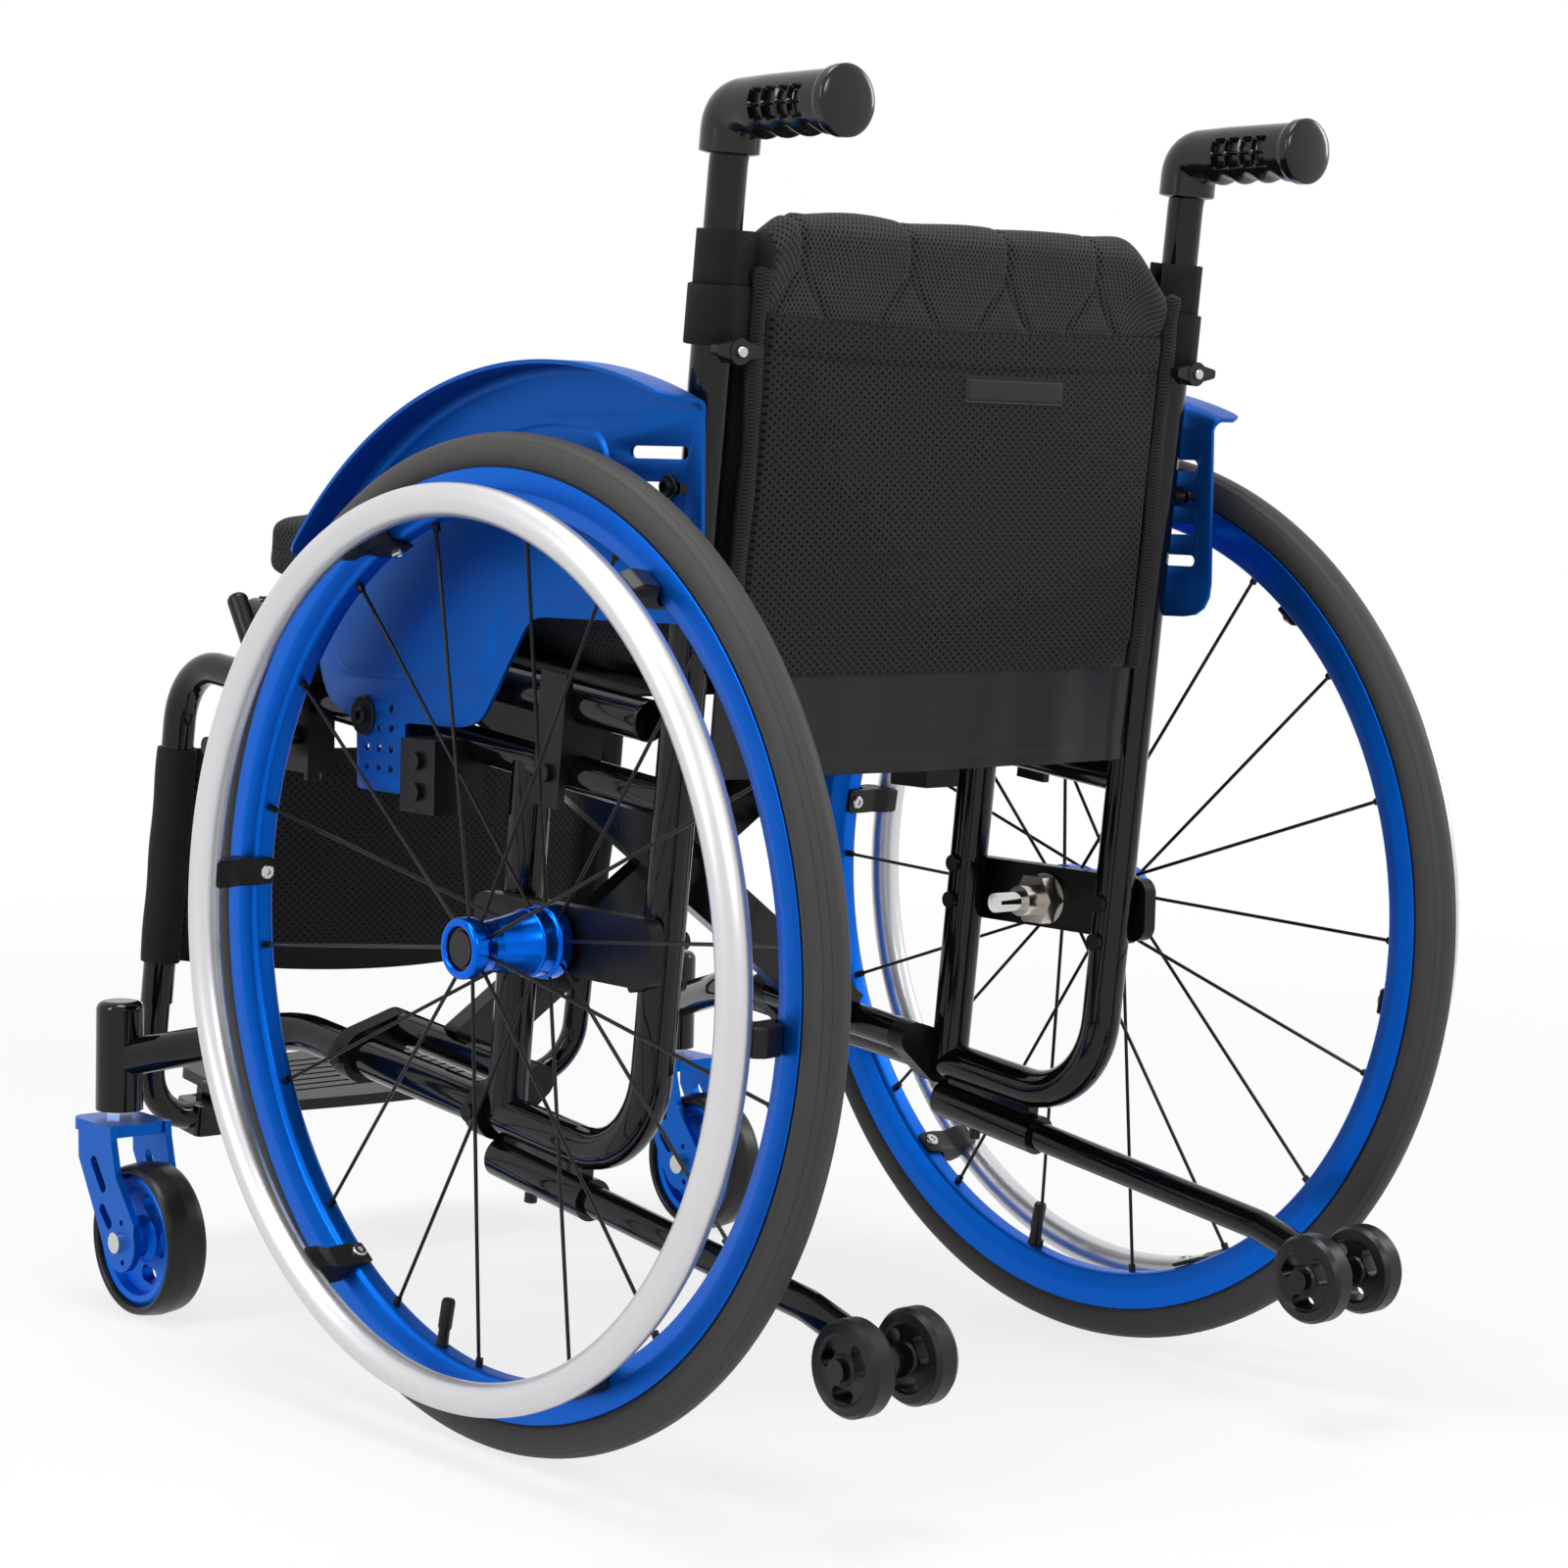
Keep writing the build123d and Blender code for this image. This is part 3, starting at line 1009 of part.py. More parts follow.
def brace_arm(side, s0, s1):
    """Arm from the lower pivot on one side (side = 1 is the left) to the rail on the other."""
    start = Vector(side * PIVOT_X, PIVOT_H)
    end = Vector(-side * FRAME_HALF, RAIL_H)
    run = end - start
    angle = math.degrees(math.atan2(run.Y, run.X))
    middle = (start + end) * 0.5
    flat = Pos(middle.X, middle.Y) * Rot(0, 0, angle) * Rectangle(run.length, ARM_WIDTH)
    flat -= Pos(0, RAIL_H + 11 + 50) * Rectangle(800, 100)
    flat -= Pos(0, centre_h()) * Circle(BRACE_BOLT / 2)
    direction = run.normalized()
    if side < 0:
        for index in range(4):
            point = start + direction * (34 + 13 * index)
            flat -= Pos(point.X, point.Y) * Circle(2.2)
    plane = Plane((0, s0, 0), x_dir=(1, 0, 0), z_dir=(0, -1, 0))
    arm = extrude(plane * flat, amount=-(s1 - s0))
    pivot_ends = ((side * PIVOT_X, PIVOT_FRONT_S, PIVOT_H), (side * PIVOT_X, PIVOT_REAR_S, PIVOT_H))
    rail_ends = ((-side * FRAME_HALF, RAIL_FRONT_S, RAIL_H), (-side * FRAME_HALF, RAIL_REAR_S, RAIL_H))
    arm += rod(*pivot_ends, PIVOT_OUTER)
    arm -= rod(*pivot_ends, PIVOT_PIN + 2 * RUNNING_FIT)
    arm -= rod(*rail_ends, RAIL_OUTER)
    return arm


def brace_arm_a():
    arm = brace_arm(1, ARM_S - ARM_GAP / 2 - ARM_THICK, ARM_S - ARM_GAP / 2)
    middle = centre_h()
    front = ARM_S - ARM_GAP / 2 - ARM_THICK
    rear = ARM_S + ARM_GAP / 2 + ARM_THICK
    bolt = rod((0, front, middle), (0, rear + CLEAR, middle), BRACE_BOLT)
    bolt += rod((0, front - 4, middle), (0, front, middle), 18)
    bolt += rod((0, rear + CLEAR, middle), (0, rear + CLEAR + 5, middle), 18)
    return [(TILTED * arm).solids().sort_by(SortBy.VOLUME)[-1], (TILTED * bolt).solid()]


def brace_arm_b():
    arm = brace_arm(-1, ARM_S + ARM_GAP / 2, ARM_S + ARM_GAP / 2 + ARM_THICK)
    hole = rod((0, ARM_S, centre_h()), (0, ARM_S + 20, centre_h()), BRACE_BOLT + 2 * RUNNING_FIT)
    return [(TILTED * (arm - hole)).solids().sort_by(SortBy.VOLUME)[-1]]


# Soft pieces: seat cushion, sling, back upholstery, flap and calf panel

def pillow_face(half_x, rear, front, corner, waist):
    """Cushion outline whose sides draw in between rounded corners."""
    points = [(half_x, rear), (-half_x, rear), (-half_x, front), (half_x, front)]
    middles = [(0, rear - waist), (-half_x + waist, (rear + front) / 2), (0, front + waist),
               (half_x - waist, (rear + front) / 2)]
    sides = [ThreePointArc(points[i], middles[i], points[(i + 1) % 4]) for i in range(4)]
    face = make_face(sides)
    return fillet(face.vertices(), corner)


def seat_cushion():
    bottom = RAIL_H + RAIL_RADIUS + CLEAR + SLING_THICK + CLEAR
    thick = CUSHION_TOP_H - bottom
    levels = ((0, 9, 24), (0.16, 2, 28), (0.5, 0, 30), (0.8, 3, 30), (0.93, 13, 34), (1.0, 55, 50))
    sections = []
    for share, inset, corner in levels:
        face = pillow_face(CUSHION_HALF - inset, CUSHION_REAR_S - inset, CUSHION_FRONT_S + inset, corner, 4)
        sections.append(Pos(0, 0, bottom + share * thick) * face)
    return [(TILTED * loft(sections)).solid()]


def seat_sling():
    bottom = RAIL_H + RAIL_RADIUS + CLEAR
    half = FRAME_HALF + 4
    sheet = block(-half, half, RAIL_FRONT_S + 5, RAIL_REAR_S - 5, bottom, bottom + SLING_THICK)
    return [(TILTED * sheet).solid()]


def back_upholstery():
    front_s = BACK_REAR_S - BACK_THICK
    roll_h = BACK_TOP_H - 17
    side_view = make_face(Polyline((front_s, BACK_BOTTOM_H), (BACK_REAR_S, BACK_BOTTOM_H),
                                   (BACK_REAR_S, roll_h - 14), (BACK_REAR_S + 3, roll_h),
                                   (front_s - 3, roll_h), (front_s, roll_h - 14), close=True))
    pad = plate_x(side_view, -BACK_HALF, BACK_HALF)
    roll_size = BACK_THICK + 6
    middle_s = (front_s + BACK_REAR_S) / 2
    top = BACK_TOP_H - roll_size / 2
    half = BACK_HALF - roll_size / 2
    path = FilletPolyline((-half - 3, middle_s, top - 38), (-half + 16, middle_s, top - 2), (0, middle_s, top),
                          (half - 16, middle_s, top - 2), (half + 3, middle_s, top - 38), radius=25)
    roll = sweep(Plane(path @ 0, z_dir=path % 0) * Circle(roll_size / 2), path=path)
    corner_cut = block(-400, 400, front_s - 40, BACK_REAR_S + 40, roll_h - 20, roll_h + 60)
    slab = block(-half + 14, half - 14, front_s - 3, BACK_REAR_S + 3, roll_h - 20, top)
    pad = (pad - corner_cut) + slab + roll
    pocket_s = BACK_REAR_S + POCKET_DEPTH
    pocket = make_face(Polyline((BACK_REAR_S - 1, POCKET_BOTTOM_H), (pocket_s, POCKET_BOTTOM_H + 6),
                                (pocket_s, POCKET_TOP_H - 4), (BACK_REAR_S - 1, POCKET_TOP_H), close=True))
    pad += plate_x(pocket, -POCKET_HALF, POCKET_HALF)
    for x in CHANNELS_X:
        pad -= rod((x, BACK_REAR_S + 3.8, CHANNEL_BOTTOM_H), (x, BACK_REAR_S + 3.8, BACK_TOP_H - 12), 5)
    for side in (-1, 1):
        for low, high in STRAP_BANDS:
            ring = rod((side * FRAME_HALF, CANE_S, low), (side * FRAME_HALF, CANE_S, high),
                       MAIN_OUTER + 2 * CLEAR + 2 * STRAP)
            web_s = BACK_REAR_S - 1.2
            web = block(side * FRAME_HALF, side * (BACK_HALF - 12), web_s, web_s + STRAP, low, high)
            ring += web
            ring -= rod((side * FRAME_HALF, CANE_S, low - 1), (side * FRAME_HALF, CANE_S, high + 1),
                        MAIN_OUTER + 2 * CLEAR)
            pad += ring
    return solids_of(TILTED * pad)


def back_flap():
    sag = 5.0
    top_h = BACK_BOTTOM_H - CLEAR
    half = BACK_HALF - 1
    s = BACK_REAR_S - 8
    outer = s + STRAP
    outline = make_face([ThreePointArc((-half, s), (0, s + sag), (half, s)), Line((half, s), (half, outer)),
                         ThreePointArc((half, outer), (0, outer + sag), (-half, outer)),
                         Line((-half, outer), (-half, s))])
    return [(TILTED * Pos(0, 0, FLAP_BOTTOM_H) * extrude(outline, amount=top_h - FLAP_BOTTOM_H)).solid()]


def calf_panel():
    """Panel between the leg tubes, with a sleeve round each, drawn square to the tubes."""
    top = leg_point(CALF_TOP_H)
    low = leg_point(CALF_BOTTOM_H)
    up = (top - low).normalized()
    plane = Plane(Vector(0, low.Y, low.Z), x_dir=(1, 0, 0), z_dir=up)
    gap = SIDE_RADIUS + CLEAR
    half = FRAME_HALF - gap - 0.3
    sheet = make_face([ThreePointArc((-half, 1), (0, CALF_SAG), (half, 1)), Line((half, 1), (half, 3)),
                       ThreePointArc((half, 3), (0, CALF_SAG + 2), (-half, 3)), Line((-half, 3), (-half, 1))])
    for side in (-1, 1):
        sheet += Pos(side * FRAME_HALF, 0) * Circle(gap + STRAP)
    for side in (-1, 1):
        sheet -= Pos(side * FRAME_HALF, 0) * Circle(gap)
    return solids_of(extrude(plane * sheet, amount=(top - low).length))


# All nodes: pieces made once for each side, and single pieces

def sided(name, left, right=None):
    """Left pieces and their mirror images; the right may be built with values of its own."""
    other = left if right is None else right
    return {name + "_left": Compound(left), name + "_right": Compound([mirrored(piece) for piece in other])}


def nodes():
    table = {}
    table.update(sided("side_frame", side_frame()))
    table.update(sided("upper_frame", upper_frame()))
    table.update(sided("leg_tube", leg_tube(True), leg_tube(False)))
    table.update(sided("frame_clamps", frame_clamps()))
    table.update(sided("axle_plate", axle_plate()))
    table.update(sided("axle_sleeve", axle_sleeve()))
    table.update(sided("axle_pin", axle_pin()))
    table.update(sided("hub_button", hub_button()))
    table.update(sided("side_guard", side_guard()))
    table.update(sided("brake_lever", brake_lever()))
    table.update(sided("push_handle", push_handle()))
    table.update(sided("grip", grip()))
    table.update(sided("handle_knob", handle_knob()))
    table.update(sided("anti_tip_arm", anti_tip_arm()))
    table.update(sided("anti_tip_wheels", anti_tip_wheels()))
    table.update(sided("anti_tip_button", anti_tip_button()))
    table.update(sided("tyre", tyre()))
    table.update(sided("rim", rim(SPOKE_START_LEFT), rim(SPOKE_START_RIGHT)))
    table.update(sided("spokes", spokes(SPOKE_START_LEFT), spokes(SPOKE_START_RIGHT)))
    table.update(sided("hub", hub(SPOKE_START_LEFT), hub(SPOKE_START_RIGHT)))
    table.update(sided("handrim", handrim()))
    table.update(sided("handrim_clips", handrim_clips(CLIP_START_LEFT), handrim_clips(CLIP_START_RIGHT)))
    table.update(sided("caster_fork", caster_fork()))
    table.update(sided("caster_tyre", caster_tyre()))
    table.update(sided("caster_hub", caster_hub()))
    table.update(sided("seat_rail", seat_rail()))
    table["brace_arm_a"] = Compound(brace_arm_a())
    table["brace_arm_b"] = Compound(brace_arm_b())
    table["seat_cushion"] = Compound(seat_cushion())
    table["seat_sling"] = Compound(seat_sling())
    table["back_upholstery"] = Compound(back_upholstery())
    table["back_flap"] = Compound(back_flap())
    table["calf_panel"] = Compound(calf_panel())
    table["footplate"] = Compound(footplate())
    return table


NODES = nodes()
EXTENT = Compound(list(NODES.values())).bounding_box()
ORIGIN_Y = (EXTENT.min.Y + EXTENT.max.Y) / 2
os.makedirs("parts", exist_ok=True)
for name, shape in NODES.items():
    export_step(Pos(0, -ORIGIN_Y, 0) * shape, os.path.join("parts", name + ".step"))
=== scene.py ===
import math

import bmesh
import bpy
import numpy as np
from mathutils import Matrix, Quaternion, Vector
from mathutils.geometry import tessellate_polygon


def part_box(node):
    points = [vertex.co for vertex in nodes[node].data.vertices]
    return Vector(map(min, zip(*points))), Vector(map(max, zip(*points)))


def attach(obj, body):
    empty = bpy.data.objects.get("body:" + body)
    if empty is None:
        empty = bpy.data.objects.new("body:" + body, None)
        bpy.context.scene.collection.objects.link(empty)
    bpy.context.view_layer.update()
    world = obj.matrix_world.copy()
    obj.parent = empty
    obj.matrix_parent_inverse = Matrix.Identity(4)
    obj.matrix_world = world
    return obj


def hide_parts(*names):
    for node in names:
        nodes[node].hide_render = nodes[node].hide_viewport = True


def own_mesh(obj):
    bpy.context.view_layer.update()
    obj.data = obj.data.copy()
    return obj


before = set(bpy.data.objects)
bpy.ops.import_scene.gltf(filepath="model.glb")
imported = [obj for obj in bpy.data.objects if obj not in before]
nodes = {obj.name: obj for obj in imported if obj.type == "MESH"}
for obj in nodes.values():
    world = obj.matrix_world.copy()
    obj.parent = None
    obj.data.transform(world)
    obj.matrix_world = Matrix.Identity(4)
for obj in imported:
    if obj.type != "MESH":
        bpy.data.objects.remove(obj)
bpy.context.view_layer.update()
SIDES = (("left", 1.0), ("right", -1.0))

# View and studio
# The chair is seen from behind its left wheel, a little above the hub, on a white floor under soft lamps.
# The rear axle crosses the chair at AXLE_Y, and every place below is measured from it in metres.
low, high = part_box("tyre_left")
AXLE_Y = (low.y + high.y) / 2
AXLE_Z = (low.z + high.z) / 2
LENS_MM = 83.313
CAMERA_SPOT = (1.495418, 1.679439 + AXLE_Y, 0.581101)
CAMERA_ROLL = math.radians(1.3987)
SIGHT = Vector((-0.65375404, -0.75142833, -0.08922513))
ROOM_LIGHT = 0.34
studio = bpy.context.scene
studio.view_settings.view_transform = "Standard"

lens = bpy.data.cameras.new("photo_camera")
lens.sensor_width = 36.0
lens.lens = LENS_MM
camera = bpy.data.objects.new("photo_camera", lens)
camera.location = CAMERA_SPOT
camera.rotation_mode = "QUATERNION"
camera.rotation_quaternion = SIGHT.to_track_quat("-Z", "Y") @ Quaternion((0, 0, 1), CAMERA_ROLL)
studio.collection.objects.link(camera)
studio.camera = camera


def lamp(name, place, target, size, power):
    """Square soft lamp at a place, turned towards a target."""
    data = bpy.data.lights.new(name, "AREA")
    data.shape = "RECTANGLE"
    data.size, data.size_y = size
    data.energy = power
    thing = bpy.data.objects.new(name, data)
    thing.location = place
    thing.rotation_mode = "QUATERNION"
    thing.rotation_quaternion = (Vector(target) - Vector(place)).to_track_quat("-Z", "Y")
    studio.collection.objects.link(thing)


lamp("lamp_over", (0.3, 0.2, 2.9), (0, 0, 0.3), (1.3, 1.1), 50)
lamp("lamp_left", (2.6, -0.2, 1.7), (0, 0, 0.4), (0.6, 1.4), 30)
lamp("lamp_rear", (0.4, 3.0, 1.9), (0, 0, 0.4), (1.0, 0.8), 26)
lamp("lamp_right", (-2.6, 0.9, 1.5), (0, 0, 0.4), (0.5, 1.2), 18)


def seen_by_eye(tree):
    """1 where the ray comes from the camera, a mirror reflection or clear glass, else 0."""
    path = tree.nodes.new("ShaderNodeLightPath")
    either = tree.nodes.new("ShaderNodeMath")
    either.operation = "MAXIMUM"
    tree.links.new(path.outputs["Is Camera Ray"], either.inputs[0])
    tree.links.new(path.outputs["Is Glossy Ray"], either.inputs[1])
    last = tree.nodes.new("ShaderNodeMath")
    last.operation = "MAXIMUM"
    tree.links.new(either.outputs[0], last.inputs[0])
    tree.links.new(path.outputs["Is Transmission Ray"], last.inputs[1])
    return last.outputs[0]


def ranged(tree, value, low, high):
    """Node whose result goes from low to high as a value goes from 0 to 1."""
    node = tree.nodes.new("ShaderNodeMapRange")
    node.inputs["To Min"].default_value = low
    node.inputs["To Max"].default_value = high
    tree.links.new(value, node.inputs["Value"])
    return node


world = bpy.data.worlds.new("white_studio")
studio.world = world
world.use_nodes = True
sky = world.node_tree
glow = sky.nodes["Background"]
glow.inputs["Color"].default_value = (1, 1, 1, 1)
sky.links.new(ranged(sky, seen_by_eye(sky), ROOM_LIGHT, 1.0).outputs["Result"], glow.inputs["Strength"])

floor_mesh = bpy.data.meshes.new("studio_floor")
floor_mesh.from_pydata([(-30, -30, 0), (30, -30, 0), (30, 30, 0), (-30, 30, 0)], [], [(0, 1, 2, 3)])
studio_floor = bpy.data.objects.new("studio_floor", floor_mesh)
studio.collection.objects.link(studio_floor)
floor_paint = bpy.data.materials.new("white_floor")
floor_paint.use_nodes = True
tree = floor_paint.node_tree
tree.nodes.clear()
dull = tree.nodes.new("ShaderNodeBsdfDiffuse")
dull.inputs["Color"].default_value = (0.82, 0.82, 0.83, 1)
bright = tree.nodes.new("ShaderNodeEmission")
bright.inputs["Color"].default_value = (1, 1, 1, 1)
spot = tree.nodes.new("ShaderNodeTexCoord")
away = tree.nodes.new("ShaderNodeVectorMath")
away.operation = "LENGTH"
tree.links.new(spot.outputs["Object"], away.inputs[0])
whiter = ranged(tree, away.outputs["Value"], 0.78, 1.0)
whiter.interpolation_type = "SMOOTHSTEP"
whiter.inputs["From Min"].default_value = 0.6
whiter.inputs["From Max"].default_value = 2.6
share = tree.nodes.new("ShaderNodeMath")
share.operation = "MULTIPLY"
tree.links.new(whiter.outputs["Result"], share.inputs[1])
tree.links.new(seen_by_eye(tree), share.inputs[0])
blend = tree.nodes.new("ShaderNodeMixShader")
tree.links.new(share.outputs[0], blend.inputs["Fac"])
tree.links.new(dull.outputs[0], blend.inputs[1])
tree.links.new(bright.outputs[0], blend.inputs[2])
output = tree.nodes.new("ShaderNodeOutputMaterial")
tree.links.new(blend.outputs[0], output.inputs["Surface"])
floor_mesh.materials.append(floor_paint)

# Painted frame
# Bent and welded aluminium tubes with their plates, clamps and brackets, in a deep gloss black
# powder coat: its faint orange peel shows in the reflections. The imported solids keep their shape.


def fresh(name, shine):
    """New material, with its node tree, its shader and the node of its object coordinates."""
    made = bpy.data.materials.new(name)
    made.use_nodes = True
    tree = made.node_tree
    shader = tree.nodes["Principled BSDF"]
    shader.inputs["Specular IOR Level"].default_value = shine
    return made, tree, shader, tree.nodes.new("ShaderNodeTexCoord")


def noise(tree, place, scale, detail):
    """Strength of a soft noise at each place."""
    node = tree.nodes.new("ShaderNodeTexNoise")
    node.inputs["Scale"].default_value = scale
    node.inputs["Detail"].default_value = detail
    tree.links.new(place.outputs["Object"], node.inputs["Vector"])
    return node.outputs["Fac"]


def mixed(tree, share, first, second):
    """Node that goes from one colour to another as a share goes from 0 to 1."""
    node = tree.nodes.new("ShaderNodeMix")
    node.data_type = "RGBA"
    node.inputs["A"].default_value = (*first, 1)
    node.inputs["B"].default_value = (*second, 1)
    tree.links.new(share, node.inputs["Factor"])
    return node


def dented(tree, shader, height, depth):
    """Node that tilts the shader's surface as if a height from 0 to 1 stood out by the depth."""
    node = tree.nodes.new("ShaderNodeBump")
    node.inputs["Distance"].default_value = depth
    tree.links.new(height, node.inputs["Height"])
    tree.links.new(node.outputs["Normal"], shader.inputs["Normal"])
    return node


def coating(name, colour, rough, metal=0.0, grain=900.0, bump=0.00002, spread=0.25, tint=0.15, shine=0.5):
    """One even finish with a fine grain: the grain dents the surface, and broad clouds vary its gloss
    and its colour."""
    made, tree, shader, place = fresh(name, shine)
    shader.inputs["Metallic"].default_value = metal
    cloud = noise(tree, place, 9.0, 4.0)
    gloss = ranged(tree, cloud, rough * (1 - spread), rough * (1 + spread))
    tree.links.new(gloss.outputs["Result"], shader.inputs["Roughness"])
    darker = [value * (1 - tint) for value in colour]
    lighter = [min(1.0, value * (1 + tint)) for value in colour]
    tree.links.new(mixed(tree, cloud, darker, lighter).outputs["Result"], shader.inputs["Base Color"])
    dented(tree, shader, noise(tree, place, grain, 3.0), bump)
    return made


def dress(material, *names):
    """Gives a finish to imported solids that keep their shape."""
    for name in names:
        slots = nodes[name].data.materials
        for index in range(len(slots)):
            slots[index] = material


gloss_black = coating("gloss_black_paint", (0.0028, 0.0028, 0.0032), 0.09, grain=420.0, shine=0.3)
satin_black = coating("satin_black_plate", (0.0045, 0.0045, 0.0050), 0.36, grain=1500.0, shine=0.2)
for side, _ in SIDES:
    for part in ("side_frame", "upper_frame", "leg_tube", "seat_rail", "anti_tip_arm", "push_handle"):
        dress(gloss_black, part + "_" + side)
    for part in ("frame_clamps", "axle_plate", "brake_lever"):
        dress(satin_black, part + "_" + side)
dress(gloss_black, "brace_arm_a", "brace_arm_b")

# Rear wheels
# A grey slick tyre on a deep blue anodised rim, laced by eighteen black spokes to a turned blue hub, with
# a satin silver handrim held off the rim by six black clips. The spokes keep their solids.


def rounded(corners, radius, steps=5, closed=True):
    """An outline with its corners eased: each becomes a curve that leaves one side, bends by the corner
    and joins the next, no longer than the radius or half a side."""
    corners = np.asarray(corners, float)
    back = np.roll(corners, 1, axis=0) - corners
    ahead = np.roll(corners, -1, axis=0) - corners
    back_run = np.linalg.norm(back, axis=1, keepdims=True)
    ahead_run = np.linalg.norm(ahead, axis=1, keepdims=True)
    cut = np.minimum(radius, 0.48 * np.minimum(back_run, ahead_run))
    if not closed:
        cut[[0, -1]] = 0
    first = (corners + back / back_run * cut)[:, None]
    last = (corners + ahead / ahead_run * cut)[:, None]
    t = np.linspace(0, 1, steps)[None, :, None]
    bend = (1 - t) ** 2 * first + 2 * t * (1 - t) * corners[:, None] + t ** 2 * last
    return bend.reshape(-1, corners.shape[1])


def skin(points, rows_meet=False, columns_meet=False, shut=False, cloth=None):
    """Corners, faces and cloth coordinates over a grid of points. Where rows or columns meet, the last
    joins the first; where shut, the first and last rows are each filled by one flat face."""
    rows, columns = points.shape[:2]
    index = np.arange(rows * columns).reshape(rows, columns)
    ends = [index[0, ::-1].tolist(), index[-1].tolist()] if shut else []
    if rows_meet:
        index = np.vstack((index, index[:1]))
    if columns_meet:
        index = np.hstack((index, index[:, :1]))
    faces = np.stack((index[:-1, :-1], index[:-1, 1:], index[1:, 1:], index[1:, :-1]), axis=-1)
    marks = np.zeros((rows * columns, 2)) if cloth is None else np.stack(cloth, axis=-1).reshape(-1, 2)
    return points.reshape(-1, 3), faces.reshape(-1, 4).tolist() + ends, marks


def piece(name, *skins, crease=40.0):
    """One object from several skins: doubled corners merged, faces turned outwards, edges sharper than
    the crease angle kept sharp. The cloth coordinates become its UV map, in metres."""
    starts = np.cumsum([0] + [len(part[0]) for part in skins]).tolist()
    faces = [[corner + start for corner in face] for start, part in zip(starts, skins) for face in part[1]]
    mesh = bpy.data.meshes.new(name)
    mesh.from_pydata(np.vstack([part[0] for part in skins]).tolist(), [], faces)
    marks = np.vstack([part[2] for part in skins])
    loops = np.zeros(len(mesh.loops), dtype=np.int64)
    mesh.loops.foreach_get("vertex_index", loops)
    mesh.uv_layers.new(name="cloth").data.foreach_set("uv", marks[loops].ravel())
    work = bmesh.new()
    work.from_mesh(mesh)
    bmesh.ops.remove_doubles(work, verts=work.verts, dist=2e-6)
    bmesh.ops.recalc_face_normals(work, faces=work.faces)
    work.to_mesh(mesh)
    work.free()
    mesh.shade_smooth()
    mesh.set_sharp_from_angle(angle=math.radians(crease))
    thing = bpy.data.objects.new(name, mesh)
    studio.collection.objects.link(thing)
    return thing


def fitted(thing, material, slot, body, *replaced):
    """Finishes a piece: its material, the body that carries it and the solids that it stands for; the
    slot is not used."""
    thing.data.materials.clear()
    thing.data.materials.append(material)
    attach(thing, body)
    if replaced:
        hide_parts(*replaced)
    return thing


def turned(profile, centre, steps=96, closed=True, axis=(1, 0, 0), shut=False):
    """Surface of revolution: a point of the profile lies so far along the axis and so far from it, and
    goes round the axis through the centre."""
    profile = np.asarray(profile, float)
    axis = np.asarray(axis, float) / np.linalg.norm(axis)
    side = np.cross(axis, (0, 0, 1) if abs(axis[2]) < 0.9 else (0, 1, 0))
    side /= np.linalg.norm(side)
    other = np.cross(axis, side)
    angle = np.linspace(0, 2 * np.pi, steps, endpoint=False)[None, :, None]
    out = profile[:, None, 1:] * (np.cos(angle) * side + np.sin(angle) * other)
    points = np.asarray(centre, float) + profile[:, None, :1] * axis + out
    return skin(points, rows_meet=closed, columns_meet=True, shut=shut)


WHEEL_X = 0.248
RIM_BED = 0.2523
VALVE_ANGLE = math.radians(258.0)
HANDRIM_OUT = 0.0407
HANDRIM_MEAN = 0.257
HANDRIM_TUBE = 0.010
FIRST_CLIPS = {"left": 55.9, "right": 50.7}
CLIP_WIDTH = 0.017
CLIP_SCREW_R = 0.2492
TREAD = [(0.0, 0.2965), (0.0053, 0.2954), (0.0057, 0.29465), (0.0060, 0.2950), (0.0090, 0.2927),
         (0.0094, 0.29165), (0.0098, 0.29195), (0.0117, 0.2885), (0.0130, 0.2835), (0.0124, 0.2792),
         (0.0092, 0.2766), (0.0090, 0.2710)]
TREAD += [(-x, r) for x, r in TREAD[:0:-1]]
SECTION = [(0.0090, 0.2708), (0.0094, 0.2758), (0.0104, 0.2762), (0.0110, 0.2756), (0.0110, 0.2636),
           (0.0074, 0.2538), (0.0046, 0.2523)]
SECTION += [(-x, r) for x, r in SECTION[::-1]]
CLIP = [(0.0112, 0.2640), (0.0112, 0.2560), (0.0068, 0.2512), (-0.0050, 0.2510), (-0.0056, 0.2490),
        (0.0065, 0.2484), (0.0190, 0.2500), (0.0290, 0.2462), (0.0385, 0.2462), (0.0345, 0.2490),
        (0.0311, 0.2530), (0.0304, 0.2580), (0.0312, 0.2620), (0.0240, 0.2655)]
CLIP_SCREW = [(0.0, 0.0042), (0.0, 0.0046), (0.0022, 0.0046), (0.0030, 0.0038), (0.0030, 0.0020),
              (0.0018, 0.0016)]
VALVE = [(-0.003, 0.0030), (0.0, 0.0042), (0.002, 0.0036), (0.010, 0.0034), (0.012, 0.0042), (0.028, 0.0042),
         (0.0295, 0.0036), (0.030, 0.0015)]
HUB = [(0.2103, 0.0070), (0.2103, 0.0165), (0.2118, 0.0210), (0.2128, 0.0219), (0.2205, 0.0219),
       (0.2212, 0.0212), (0.2216, 0.0201), (0.2290, 0.0198), (0.2294, 0.0204), (0.2316, 0.0204),
       (0.2320, 0.0194), (0.2430, 0.0172), (0.2560, 0.0152), (0.2620, 0.0151), (0.2660, 0.0160),
       (0.2688, 0.0176), (0.2702, 0.0180), (0.2775, 0.0180), (0.2790, 0.0172), (0.2795, 0.0158),
       (0.2795, 0.0138), (0.2785, 0.0128), (0.2670, 0.0126), (0.2666, 0.0070)]
rubber = coating("tyre_rubber", (0.040, 0.038, 0.037), 0.58, grain=2600.0, bump=0.00008, tint=0.3, shine=0.3)
